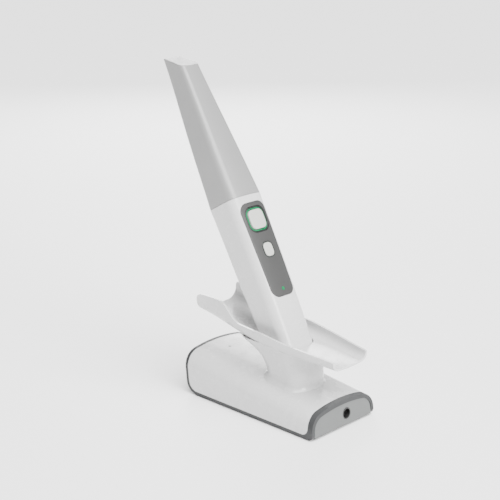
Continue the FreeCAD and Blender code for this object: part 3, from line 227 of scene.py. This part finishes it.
def satin_silver():
    """Satin metallic coating of the tip: fine flake, faint clouds and duller handling patches."""
    shader = Shader("satin_silver_coat", Metallic=0.2, Specular_IOR_Level=0.35)
    flake = shader.noise(size_mm=0.28, detail=2, rough=0.7)
    cloud = shader.noise(size_mm=18, detail=3)
    shade = shader.blend(cloud, tint(0.215), tint(0.25))
    speck = shader.blend(flake * 0.5, shade, tint(0.36, 0.36, 0.355))
    wear = shader.ramp(shader.noise(size_mm=6, detail=6, rough=0.7), (0.5, 0.0), (0.75, 1.0))
    shader.drive(Base_Color=speck, Roughness=wear * 0.12 + 0.36)
    shader.bump(flake, depth_mm=0.006, strength=0.5)
    return shader.material


def plastic(name, colour, rough, grain_mm=0.5, depth_mm=0.012, spread=0.12, **extra):
    """Moulded plastic with a fine moulded grain and a slightly uneven colour."""
    shader = Shader(name, **extra)
    grain = shader.noise(size_mm=grain_mm, detail=3, rough=0.6)
    cloud = shader.noise(size_mm=14, detail=3)
    shader.drive(Base_Color=shader.blend(cloud, dimmed(colour, 1 - spread), colour),
                 Roughness=shader.around(shader.noise(size_mm=5, detail=4), rough, spread=0.14))
    shader.bump(grain, depth_mm=depth_mm, strength=0.7)
    return shader.material


def glow(name, colour, strength):
    """Lit light guide, brighter in some stretches than in others."""
    shader = Shader(name, Roughness=0.5, Specular_IOR_Level=0.15, Emission_Strength=strength)
    cells = shader.noise(size_mm=7, detail=1)
    dim, dark = dimmed(colour, 0.4), dimmed(colour, 0.12)
    lamps = shader.ramp(cells, (0.35, 0.1), (0.7, 1.0))
    shader.drive(Base_Color=shader.blend(cells, dark, dim),
                 Emission_Color=shader.blend(lamps, dim, colour))
    return shader.material


def metal(name, colour, rough):
    """Bare or plated metal with fine working marks."""
    shader = Shader(name, Metallic=1.0)
    turned = shader.noise(size_mm=0.35, detail=4, rough=0.7)
    cloud = shader.noise(size_mm=4, detail=3)
    shader.drive(Base_Color=shader.blend(cloud, dimmed(colour, 0.85), colour),
                 Roughness=shader.around(turned, rough, spread=0.16))
    shader.bump(turned, depth_mm=0.006, strength=0.5)
    return shader.material


def glass():
    """Coated lens glass with a faint blue bloom."""
    shader = Shader("coated_glass", Roughness=0.03, IOR=1.52, Transmission_Weight=0.9)
    bloom = shader.noise(size_mm=3, detail=2)
    shader.drive(Base_Color=shader.blend(bloom, tint(0.70, 0.80, 0.95), tint(0.85, 0.88, 0.98)))
    return shader.material


FINISHES = {
    "white_gloss": gloss_white(),
    "silver_satin": satin_silver(),
    "panel_grey": plastic("panel_grey_metallic", tint(0.05, 0.05, 0.0495), rough=0.46, grain_mm=0.3,
                          depth_mm=0.008, spread=0.08, Metallic=0.1, Specular_IOR_Level=0.3),
    # very dark grey: the ring bezel's own colour, and painted shade on the rim round the small key's
    # gap
    "bezel_and_gap_shade": plastic("bezel_grey_and_gap_shade", tint(0.02, 0.024, 0.022), rough=0.32, grain_mm=0.3,
                     depth_mm=0.006, spread=0.1),
    "tray_grey": plastic("tray_dark_grey", tint(0.036, 0.037, 0.038), rough=0.5,
                         Specular_IOR_Level=0.3),
    "end_grey": plastic("end_cap_grey", tint(0.115, 0.12, 0.118), rough=0.45,
                        Specular_IOR_Level=0.35),
    "button_cream": plastic("keycap_cream", tint(0.45, 0.455, 0.425), rough=0.4, grain_mm=0.9,
                            depth_mm=0.02, spread=0.05),
    "green_light": glow("green_light", tint(0.0, 0.42, 0.15), strength=0.75),
    "clear_glass": glass(),
    "mirror": metal("front_surface_mirror", tint(0.9, 0.92, 0.93), rough=0.1),
    "black_plastic": plastic("black_plastic", tint(0.012), rough=0.4),
    "rubber_black": plastic("soft_rubber", tint(0.02), rough=0.75, grain_mm=0.8, depth_mm=0.03),
    "aluminium": metal("machined_aluminium", tint(0.75, 0.76, 0.77), rough=0.35),
    "steel": metal("zinc_plated_steel", tint(0.55, 0.55, 0.56), rough=0.35),
    "gold_contact": metal("gold_plating", tint(0.83, 0.6, 0.25), rough=0.25),
    "board_green": plastic("solder_mask", tint(0.02, 0.14, 0.06), rough=0.35, grain_mm=1.2,
                           depth_mm=0.02),
    "chip_black": plastic("chip_resin", tint(0.02), rough=0.5),
    "cell_wrap": plastic("cell_shrink_wrap", tint(0.05, 0.16, 0.42), rough=0.3, grain_mm=2.0,
                         depth_mm=0.02),
    "led_white": plastic("led_resin", tint(0.9, 0.82, 0.5), rough=0.3),
    "flex_amber": plastic("amber_flex", tint(0.5, 0.22, 0.04), rough=0.3),
}


def finish_cad_nodes():
    """Give every CAD node the finish of its slot; the small indicator's window is dark."""
    for part in frame["record"]["subparts"]:
        thing = frame["nodes"][part["node"]]
        thing.data.materials.clear()
        thing.data.materials.append(FINISHES[part["material_slot"]])
    dot = frame["nodes"]["indicator_light"]
    dot.data.materials[0] = FINISHES["black_plastic"]


# ---- meshes ----

def new_piece(name, mesh, finish, body, slot_name, *stands_for):
    """Put a finished mesh into the scene as a piece of one body."""
    piece = bpy.data.objects.new(name, mesh)
    bpy.context.scene.collection.objects.link(piece)
    mesh.materials.clear()
    mesh.materials.append(finish)
    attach(piece, body)
    if stands_for:
        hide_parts(*stands_for)
    return piece


# edges that turn by more than this many degrees are creases
SOFT, SHARP = 38, 10


def skin(name, rings, around=False, smooth=SOFT):
    """Closed mesh over rings of points: its ends are capped, or joined where it goes around."""
    mesh = bpy.data.meshes.new(name)
    build = bmesh.new()
    rows = [[build.verts.new(spot) for spot in ring] for ring in rings]
    pairs = list(zip(rows, rows[1:])) + ([(rows[-1], rows[0])] if around else [])
    for low, high in pairs:
        for index in range(len(low)):
            after = (index + 1) % len(low)
            build.faces.new((low[index], low[after], high[after], high[index]))
    if not around:
        build.faces.new(list(reversed(rows[0])))
        build.faces.new(rows[-1])
    bmesh.ops.recalc_face_normals(build, faces=build.faces)
    for face in build.faces:
        face.smooth = True
    for edge in build.edges:
        edge.smooth = edge.calc_face_angle(0) < math.radians(smooth)
    build.to_mesh(mesh)
    build.free()
    return mesh


CORNER_STEPS = 7
STRAIGHT_PARTS = 5
QUARTERS = ((1, 1), (-1, 1), (-1, -1), (1, -1))


def squircle(half_y, half_z, corner):
    """Outline of a rounded rectangle as pairs, with points along its straight sides too."""
    outline = []
    for turn, (side_y, side_z) in enumerate(QUARTERS):
        for step in range(CORNER_STEPS + 1):
            angle = (turn + step / CORNER_STEPS) * math.pi / 2
            outline.append((side_y * (half_y - corner) + corner * math.cos(angle),
                            side_z * (half_z - corner) + corner * math.sin(angle)))
    filled = []
    for index, here in enumerate(outline):
        there = outline[(index + 1) % len(outline)]
        filled.append(here)
        if index % (CORNER_STEPS + 1) == CORNER_STEPS:
            filled += [(here[0] + (there[0] - here[0]) * part / STRAIGHT_PARTS,
                        here[1] + (there[1] - here[1]) * part / STRAIGHT_PARTS)
                       for part in range(1, STRAIGHT_PARTS)]
    return filled


# ---- the handpiece's own axes ----

JOINTS = {joint["name"]: joint for joint in frame["record"]["behaviour"]["joints"]}
UP = Vector(JOINTS["lift_out"]["axis"])
FRONT = Vector((UP.z, 0, -UP.x))


def to_wand(spot):
    """Front, side and up measures of a point along the handpiece's axes."""
    return Vector((spot.dot(FRONT), spot.y, spot.dot(UP)))


def from_wand(x, y, z):
    """The point of the row frame with these measures along the handpiece's axes."""
    return FRONT * x + Vector((0, y, 0)) + UP * z


def wand_spots(node):
    """All points of a CAD node along the handpiece's axes."""
    return [to_wand(vertex.co) for vertex in frame["nodes"][node].data.vertices]


def wand_box(node):
    """Lowest and highest corner of a CAD node along the handpiece's axes."""
    spots = wand_spots(node)
    return [Vector(tuple(pick(spot[axis] for spot in spots) for axis in range(3)))
            for pick in (min, max)]


def crowned_face(node, band):
    """The crowned front of a CAD node as a function of y and z, fitted to its front points."""
    spots = wand_spots(node)
    front = max(spot.x for spot in spots) - band
    chosen = [spot for spot in spots if spot.x > front]
    table = np.array([(1, spot.z, spot.y ** 2) for spot in chosen])
    level, slope, bow = np.linalg.lstsq(table, np.array([spot.x for spot in chosen]), rcond=None)[0]
    return lambda y, z: level + slope * z + bow * y * y


# ---- buttons and ring light ----

FACE_BAND = 1.0 * MM
RING_FACE_BAND = 1.7 * MM
RING_BAND = 2.5 * MM
RING_CORNER = 4.85 * MM
RING_CREASE = 50
MODE_PROUD = 0.42 * MM
SCAN_CORNER, SCAN_EDGE, SCAN_DISH = 4.6 * MM, 1.1 * MM, 0.35 * MM
MODE_CORNER, MODE_EDGE, MODE_DISH = 3.6 * MM, 0.9 * MM, 0.25 * MM
KEY_LIP = 0.9 * MM
FLANGE_STEP = 0.3 * MM
PLUNGER = 2.2 * MM
PLUNGER_LEAD = 0.2 * MM
PLUNGER_TIP, TIP_ROUND, PLUNGER_ROUND = 0.98, 0.97, 0.99
ROLL_STEPS = 6
ROLL_DEPTH = 0.7
ROLL_CORNER = 0.6
DISH_RINGS = (0.86, 0.7, 0.5, 0.3, 0.12)
# widths and heights of a profile round a key, in mm
# MODE_RIM: the dark rim painted round the small key as the shade of its gap
MODE_RIM = ((0.26, -0.9), (0.26, 0.05), (0.4, 0.2), (0.95, 0.2), (1.15, 0.02), (1.15, -0.9))
RING_BEZEL = ((0, -2.3), (0, -0.55), (0.14, -0.45), (0.2, -0.95), (1.5, -0.95), (1.72, -0.1),
              (1.86, 0.12), (2.06, 0.2), (2.28, 0.12), (2.46, -0.1), (2.5, -0.5), (2.5, -2.3))
GUIDE_SIDES = 12
GUIDE_MIDDLE = (0.75, -0.5)
GUIDE_RADII = (0.5, 0.42)


def face_ring(face, centre, half_y, half_z, corner, height):
    """One ring of points at a height over a crowned face."""
    return [from_wand(face(y, centre + z) + height, y, centre + z)
            for y, z in squircle(half_y, half_z, corner)]


def make_keycap(node, body, corner, edge, dish):
    """Keycap with a rolled edge and a shallow finger dish, its flange and its plunger below."""
    low, high = wand_box(node)
    face = crowned_face(node, FACE_BAND)
    centre = (low.z + high.z) / 2
    tops = [spot for spot in wand_spots(node) if spot.x > high.x - FACE_BAND]
    half_y = max(spot.y for spot in tops)
    half_z = max(spot.z for spot in tops) - centre
    flange_y, flange_z, flange_corner = high.y, high.z - centre, corner + KEY_LIP
    base = min(spot.x for spot in wand_spots(node) if spot.y > half_y + FLANGE_STEP)
    rings = []

    def flat_ring(across, up, radius, x):
        rings.append([from_wand(x, y, centre + z) for y, z in squircle(across, up, radius)])

    flat_ring(PLUNGER * PLUNGER_TIP, PLUNGER * PLUNGER_TIP, PLUNGER * TIP_ROUND, low.x)
    flat_ring(PLUNGER, PLUNGER, PLUNGER * PLUNGER_ROUND, low.x + PLUNGER_LEAD)
    flat_ring(PLUNGER, PLUNGER, PLUNGER * PLUNGER_ROUND, base)
    flat_ring(flange_y, flange_z, flange_corner, base)
    flat_ring(flange_y, flange_z, flange_corner, base + KEY_LIP)
    flat_ring(half_y, half_z, corner, base + KEY_LIP)
    for step in range(ROLL_STEPS + 1):
        angle = step / ROLL_STEPS * math.pi / 2
        inset = edge * (1 - math.cos(angle))
        drop = edge * (1 - math.sin(angle)) * ROLL_DEPTH
        rings.append(face_ring(face, centre, half_y - inset, half_z - inset,
                               corner - inset * ROLL_CORNER, -drop))
    for share in DISH_RINGS:
        depth = dish * (1 - share ** 2)
        rings.append(face_ring(face, centre, (half_y - edge) * share, (half_z - edge) * share,
                               (corner - edge * ROLL_CORNER) * share, -depth))
    new_piece(node + "_cap", skin(node + "_cap", rings), FINISHES["button_cream"], body,
              "button_cream", node)


def make_mode_gap_shade():
    """Thin dark rim round the small key: painted shade standing in for the shadow in the gap round
    the key.
    """
    low, high = wand_box("mode_button")
    tops = [spot for spot in wand_spots("mode_button") if spot.x > high.x - FACE_BAND]
    half_y = max(spot.y for spot in tops)
    half_z = (max(spot.z for spot in tops) - min(spot.z for spot in tops)) / 2
    face = crowned_face("mode_button", FACE_BAND)
    rings = [face_ring(face, (low.z + high.z) / 2, half_y + across * MM, half_z + across * MM,
                       MODE_CORNER + across * MM, rise * MM - MODE_PROUD)
             for across, rise in MODE_RIM]
    new_piece("mode_bezel", skin("mode_bezel", rings, around=True), FINISHES["bezel_and_gap_shade"], "wand",
              "panel_grey")


def make_ring_light():
    """Moulded bezel with a dark groove, and the lit ring that lies in it."""
    low, high = wand_box("light_ring")
    face = crowned_face("light_ring", RING_FACE_BAND)
    centre = (low.z + high.z) / 2
    inner = high.y - RING_BAND

    def sweep(profile):
        return [face_ring(face, centre, inner + across * MM, inner + across * MM,
                          RING_CORNER + across * MM, rise * MM) for across, rise in profile]

    new_piece("ring_bezel",
              skin("ring_bezel", sweep(RING_BEZEL), around=True, smooth=RING_CREASE),
              FINISHES["bezel_and_gap_shade"], "wand", "panel_grey", "light_ring")
    turns = [turn * 2 * math.pi / GUIDE_SIDES for turn in range(GUIDE_SIDES)]
    guide = [(GUIDE_MIDDLE[0] + GUIDE_RADII[0] * math.cos(angle),
              GUIDE_MIDDLE[1] + GUIDE_RADII[1] * math.sin(angle)) for angle in turns]
    new_piece("ring_light_guide", skin("ring_light_guide", sweep(guide), around=True),
              FINISHES["green_light"], "wand", "green_light")


# ---- Geometry Nodes ----

class Grower:
    """A Geometry Nodes tree under construction; its inputs are set by their identifiers."""

    def __init__(self, name, **kinds):
        self.tree = bpy.data.node_groups.new(name, "GeometryNodeTree")
        self.tree.interface.new_socket("Geometry", in_out="INPUT", socket_type="NodeSocketGeometry")
        self.tree.interface.new_socket("Geometry", in_out="OUTPUT", socket_type="NodeSocketGeometry")
        for title, kind in kinds.items():
            self.tree.interface.new_socket(title, in_out="INPUT", socket_type="NodeSocket" + kind)
        self.inlet = self.tree.nodes.new("NodeGroupInput")

    def given(self, title):
        return self.inlet.outputs[title]

    def add(self, kind, settings=(), inputs=(), output=0):
        node = self.tree.nodes.new(kind)
        for key, value in dict(settings).items():
            setattr(node, key, value)
        for key, value in dict(inputs).items():
            if isinstance(value, bpy.types.NodeSocket):
                self.tree.links.new(value, node.inputs[key])
            else:
                node.inputs[key].default_value = value
        return node.outputs[output]

    def close(self, geometry):
        """End the tree in real geometry with its material."""
        real = self.add("GeometryNodeRealizeInstances", {}, {0: geometry})
        done = self.add("GeometryNodeSetMaterial", {},
                        {"Geometry": real, "Material": self.given("Finish")})
        outlet = self.tree.nodes.new("NodeGroupOutput")
        self.tree.links.new(done, outlet.inputs[0])
        return self.tree


def grow(name, tree, seed_mesh, **values):
    """Evaluate a tree on a mesh and return the plain mesh that it makes."""
    carrier = bpy.data.objects.new(name + "_carrier", seed_mesh)
    bpy.context.scene.collection.objects.link(carrier)
    modifier = carrier.modifiers.new("grow", "NODES")
    modifier.node_group = tree
    for item in tree.interface.items_tree:
        if item.in_out == "INPUT" and item.name in values:
            modifier[item.identifier] = values[item.name]
    bpy.context.view_layer.update()
    graph = bpy.context.evaluated_depsgraph_get()
    mesh = bpy.data.meshes.new_from_object(carrier.evaluated_get(graph))
    mesh.name = name
    bpy.data.objects.remove(carrier)
    return mesh


def spot_tree():
    """The same part set on every point, each turned by its own angle about its axis."""
    grower = Grower("set_on_spots", Part="Object", Lean="Vector", Turn="Float", Seed="Int",
                    Finish="Material")
    part = grower.add("GeometryNodeObjectInfo", {}, {"Object": grower.given("Part")}, "Geometry")
    lean = grower.add("FunctionNodeEulerToRotation", {}, {0: grower.given("Lean")})
    placed = grower.add("GeometryNodeInstanceOnPoints", {}, {
        "Points": grower.given("Geometry"), "Instance": part, "Rotation": lean})
    spin = grower.add("FunctionNodeRandomValue", {"data_type": "FLOAT"}, {
        2: 0.0, 3: grower.given("Turn"), "Seed": grower.given("Seed")}, 1)
    angle = grower.add("ShaderNodeCombineXYZ", {}, {"Z": spin})
    turned = grower.add("GeometryNodeRotateInstances", {}, {
        "Instances": placed, "Rotation": grower.add("FunctionNodeEulerToRotation", {}, {0: angle})})
    return grower.close(turned)


def scatter_tree():
    """Small parts spread over a flat patch, square to it, none too near another."""
    grower = Grower("scatter_on_board", Part="Object", Lean="Vector", Gap="Float", Density="Float",
                    Seed="Int", Finish="Material")
    points = grower.add("GeometryNodeDistributePointsOnFaces", {"distribute_method": "POISSON"}, {
        "Mesh": grower.given("Geometry"), "Distance Min": grower.given("Gap"),
        "Density Max": grower.given("Density"), "Seed": grower.given("Seed")})
    part = grower.add("GeometryNodeObjectInfo", {}, {"Object": grower.given("Part")}, "Geometry")
    lean = grower.add("FunctionNodeEulerToRotation", {}, {0: grower.given("Lean")})
    placed = grower.add("GeometryNodeInstanceOnPoints", {}, {
        "Points": points, "Instance": part, "Rotation": lean})
    quarter = grower.add("FunctionNodeRandomValue", {"data_type": "INT"}, {
        4: 0, 5: 1, "Seed": grower.given("Seed")}, 2)
    angle = grower.add("ShaderNodeMath", {"operation": "MULTIPLY"}, {0: quarter, 1: math.pi / 2})
    spin = grower.add("FunctionNodeEulerToRotation", {}, {
        0: grower.add("ShaderNodeCombineXYZ", {}, {"Z": angle})})
    turned = grower.add("GeometryNodeRotateInstances", {}, {"Instances": placed, "Rotation": spin})
    return grower.close(turned)


def loose_part(name, mesh):
    """An object that only a tree uses."""
    part = bpy.data.objects.new(name, mesh)
    bpy.context.scene.collection.objects.link(part)
    return part


def point_mesh(name, spots):
    """A mesh of points alone, for a tree to set its parts on."""
    mesh = bpy.data.meshes.new(name)
    mesh.from_pydata([tuple(spot) for spot in spots], [], [])
    return mesh


# ---- screws ----

# head radius, head height and shank radius, in mm
SMALL = (1.5, 0.8, 0.8)
LARGE = (2.7, 1.4, 1.38)
COVER_SCREW_LENGTH = 9
CHARGER_SCREW_LENGTH = 4.2
CAP_SCREW_LENGTH = 5
PITCH_SHARE = 0.45
POINT_SHARE, SHOULDER_SHARE = 0.35, 0.8
ROOT_SHARE, CREST_SHARE = 0.82, 0.97
RIM_SHARE = 0.45
DOME_STEPS = 4
DOME_FLAT = 0.72
ARM_LENGTH, ARM_WIDTH = 0.58, 0.13
RECESS_TAPER, RECESS_FLARE = 0.6, 1.05
RECESS_DEPTH, RECESS_ABOVE = 0.6, 0.2
SQUARE = ((1, -1), (1, 1), (-1, 1), (-1, -1))
SCREW_SIDES = 24
DOWN, UPRIGHT = Vector((0, 0, -1)), Vector((0, 0, 1))


def circle_ring(radius, z, sides=SCREW_SIDES):
    """A level ring of points around the Z axis."""
    angles = [2 * math.pi * side / sides for side in range(sides)]
    return [Vector((radius * math.cos(angle), radius * math.sin(angle), z)) for angle in angles]


def screw_part(name, size):
    """Pan-head screw with a cross recess; its head's face is at the origin, looking along +Z."""
    head, thick, shank, length = (value * MM for value in size)
    pitch, end, rim = shank * PITCH_SHARE, -thick - length, -thick * RIM_SHARE
    rings = [circle_ring(shank * POINT_SHARE, end),
             circle_ring(shank * SHOULDER_SHARE, end + pitch)]
    for turn in range(int((length - 2 * pitch) / pitch)):
        z = end + pitch * (turn + 1)
        rings += [circle_ring(shank * ROOT_SHARE, z), circle_ring(shank * CREST_SHARE, z + pitch / 2)]
    rings += [circle_ring(shank * ROOT_SHARE, -thick), circle_ring(head, -thick),
              circle_ring(head, rim)]
    for step in range(1, DOME_STEPS + 1):
        angle = step / DOME_STEPS * math.pi / 2
        radius = head * (DOME_FLAT + (1 - DOME_FLAT) * math.cos(angle))
        rings.append(circle_ring(radius, rim * (1 - math.sin(angle))))
    screw = loose_part(name, skin(name, rings))
    for turn in range(2):
        arm = [Matrix.Rotation(turn * math.pi / 2, 3, "Z")
               @ Vector((x * head * ARM_LENGTH, y * head * ARM_WIDTH, 0)) for x, y in SQUARE]
        slot = loose_part("recess", skin("recess", [
            [spot * RECESS_TAPER + DOWN * thick * RECESS_DEPTH for spot in arm],
            [spot * RECESS_FLARE + UPRIGHT * thick * RECESS_ABOVE for spot in arm]], smooth=SHARP))
        cutter = screw.modifiers.new("recess", "BOOLEAN")
        cutter.operation, cutter.solver, cutter.object = "DIFFERENCE", "EXACT", slot
        bpy.context.view_layer.update()
        screw_mesh = bpy.data.meshes.new_from_object(
            screw.evaluated_get(bpy.context.evaluated_depsgraph_get()))
        screw.modifiers.remove(cutter)
        screw.data = screw_mesh
        bpy.data.objects.remove(slot)
    return screw


def make_screws(node, body, size, spots, outwards, seed):
    """Replace one node's screws by real ones, their heads looking outwards."""
    screw = screw_part(node + "_screw", size)
    lean = outwards.to_track_quat("Z", "Y").to_euler()
    mesh = grow(node + "_set", SPOT_TREE, point_mesh(node + "_spots", spots), Part=screw,
                Lean=tuple(lean), Turn=math.pi, Seed=seed, Finish=FINISHES["steel"])
    bpy.data.objects.remove(screw)
    new_piece(node + "_set", mesh, FINISHES["steel"], body, "steel", node)


def corner_spots(low, high, inset):
    return [(x, y) for x in (low[0] + inset, high[0] - inset)
            for y in (low[1] + inset, high[1] - inset)]


def make_all_screws():
    """Screws of the base from below and above, then those of the handpiece."""
    small_head, large_head = SMALL[0] * MM, LARGE[0] * MM
    large = (*LARGE, COVER_SCREW_LENGTH)
    low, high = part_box("cover_screws")
    spots = [(x, y, low[2]) for x, y in corner_spots(low, high, large_head)]
    make_screws("cover_screws", "base", large, spots, DOWN, seed=3)
    low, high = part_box("cradle_screws")
    whole = (COVER_SCREW_LENGTH + LARGE[1]) * MM
    spots = [(low[0] + large_head, 0, high[2] - whole), (high[0] - large_head, 0, low[2])]
    make_screws("cradle_screws", "base", large, spots, DOWN, seed=5)
    low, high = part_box("charger_screws")
    spots = [(x, y, high[2]) for x, y in corner_spots(low, high, small_head)]
    small = (*SMALL, CHARGER_SCREW_LENGTH)
    make_screws("charger_screws", "base", small, spots, UPRIGHT, seed=7)
    low, high = wand_box("cap_screws")
    middle = (low.x + high.x) / 2
    spots = [from_wand(middle, y, low.z) for y in (low.y + small_head, high.y - small_head)]
    make_screws("cap_screws", "wand", (*SMALL, CAP_SCREW_LENGTH), spots, -UP, seed=11)
    low, high = wand_box("board_screws")
    length = (high.x - low.x) / MM - SMALL[1]
    spots = [from_wand(high.x, y, z) for y, z in corner_spots(low.yz, high.yz, small_head)]
    make_screws("board_screws", "wand", (*SMALL, length), spots, FRONT, seed=13)


# ---- grip pad and boards ----

PAD_CORNER = 8 * MM
FOOT_RISE = 0.4 * MM
PAD_BEVEL = 0.1 * MM
PAD_BEVEL_SHARE = 0.996
FOOT_PITCH = 5.2 * MM
PAD_EDGE = 4 * MM
# radii and heights of a round foot, in mm
FOOT = ((1.9, 0.45), (1.75, 0.15), (1.55, 0.03), (1.2, 0.0))
FOOT_SIDES = 12
CHIP = (1.7 * MM, 0.9 * MM, 0.55 * MM)
CHIP_TAPER = 0.08
CHIP_SHOULDER = 0.6
CHIP_GAP = 2.1 * MM
CHIP_DENSITY = 260000.0
BOARD_EDGE = 3.2 * MM
BOARD_LIFT = 0.01 * MM
BOARD_PATCHES = ((0.08, 0.19), (0.33, 0.53))
CHARGER_PATCH = (14 * MM, 5.5 * MM)


def make_grip_pad():
    """Soft pad: a thin sheet with rows of round feet that meet the table."""
    low, high = (Vector(corner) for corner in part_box("grip_pad"))
    half, middle = (high - low) / 2, (high + low) / 2
    outline = squircle(half.x, half.y, PAD_CORNER)
    under = low.z + FOOT_RISE
    levels = ((PAD_BEVEL_SHARE, under), (1, under + PAD_BEVEL), (1, high.z))
    sheet_rings = [[Vector((middle.x + x * share, middle.y + y * share, z)) for x, y in outline]
                   for share, z in levels]
    new_piece("grip_sheet", skin("grip_sheet", sheet_rings), FINISHES["rubber_black"], "base",
              "rubber_black", "grip_pad")
    foot = loose_part("foot", skin("foot", [
        circle_ring(radius * MM, rise * MM, FOOT_SIDES) for radius, rise in FOOT]))
    count_x, count_y = (int((side - PAD_EDGE) / FOOT_PITCH) for side in (half.x, half.y))
    spots = [(middle.x + x * FOOT_PITCH, middle.y + y * FOOT_PITCH, low.z)
             for x in range(-count_x, count_x + 1) for y in range(-count_y, count_y + 1)]
    mesh = grow("grip_feet", SPOT_TREE, point_mesh("foot_spots", spots), Part=foot, Lean=(0, 0, 0),
                Turn=0.0, Seed=1, Finish=FINISHES["rubber_black"])
    bpy.data.objects.remove(foot)
    new_piece("grip_feet", mesh, FINISHES["rubber_black"], "base", "rubber_black")


def box_rings(length, width, height, inset):
    """A chip's body, its top slightly smaller than its foot."""
    corners = [Vector((x * length / 2, y * width / 2, 0)) for x, y in QUARTERS]
    return [[spot * share + Vector((0, 0, z)) for spot in corners]
            for share, z in ((1, 0), (1, height * CHIP_SHOULDER), (1 - inset, height))]


def make_board_parts(name, patch, outwards, body, seed):
    """Small surface-mounted parts over one free patch of a board."""
    mesh = bpy.data.meshes.new(name + "_patch")
    mesh.from_pydata([tuple(spot) for spot in patch], [], [(0, 1, 2, 3)])
    chip = loose_part("chip", skin("chip", box_rings(*CHIP, CHIP_TAPER), smooth=SHARP))
    lean = outwards.to_track_quat("Z", "Y").to_euler()
    parts = grow(name, SCATTER_TREE, mesh, Part=chip, Lean=tuple(lean), Gap=CHIP_GAP,
                 Density=CHIP_DENSITY, Seed=seed, Finish=FINISHES["chip_black"])
    bpy.data.objects.remove(chip)
    new_piece(name, parts, FINISHES["chip_black"], body, "chip_black")


def patch_corners(low_1, high_1, low_2, high_2):
    """The four corners of a patch, in turn."""
    return (low_1, low_2), (high_1, low_2), (high_1, high_2), (low_1, high_2)


def make_boards():
    """Small parts on two patches of the main board and one of the charging board."""
    low, high = wand_box("main_board")
    for index, shares in enumerate(BOARD_PATCHES):
        start, end = (low.z + (high.z - low.z) * share for share in shares)
        corners = patch_corners(low.y + BOARD_EDGE, high.y - BOARD_EDGE, start, end)
        patch = [from_wand(high.x + BOARD_LIFT, y, z) for y, z in corners]
        make_board_parts("main_board_parts_%d" % index, patch, FRONT, "wand", seed=21 + index)
    low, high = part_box("charging_board")
    start, end = (high[0] - inset for inset in CHARGER_PATCH)
    corners = patch_corners(start, end, low[1] + BOARD_EDGE, high[1] - BOARD_EDGE)
    patch = [(x, y, high[2] + BOARD_LIFT) for x, y in corners]
    make_board_parts("charging_board_parts", patch, UPRIGHT, "base", seed=31)


make_camera()
make_studio()
finish_cad_nodes()
SPOT_TREE, SCATTER_TREE = spot_tree(), scatter_tree()
make_keycap("scan_button", "scan_key", SCAN_CORNER, SCAN_EDGE, SCAN_DISH)
make_keycap("mode_button", "mode_key", MODE_CORNER, MODE_EDGE, MODE_DISH)
make_ring_light()
make_mode_gap_shade()
make_all_screws()
make_grip_pad()
make_boards()
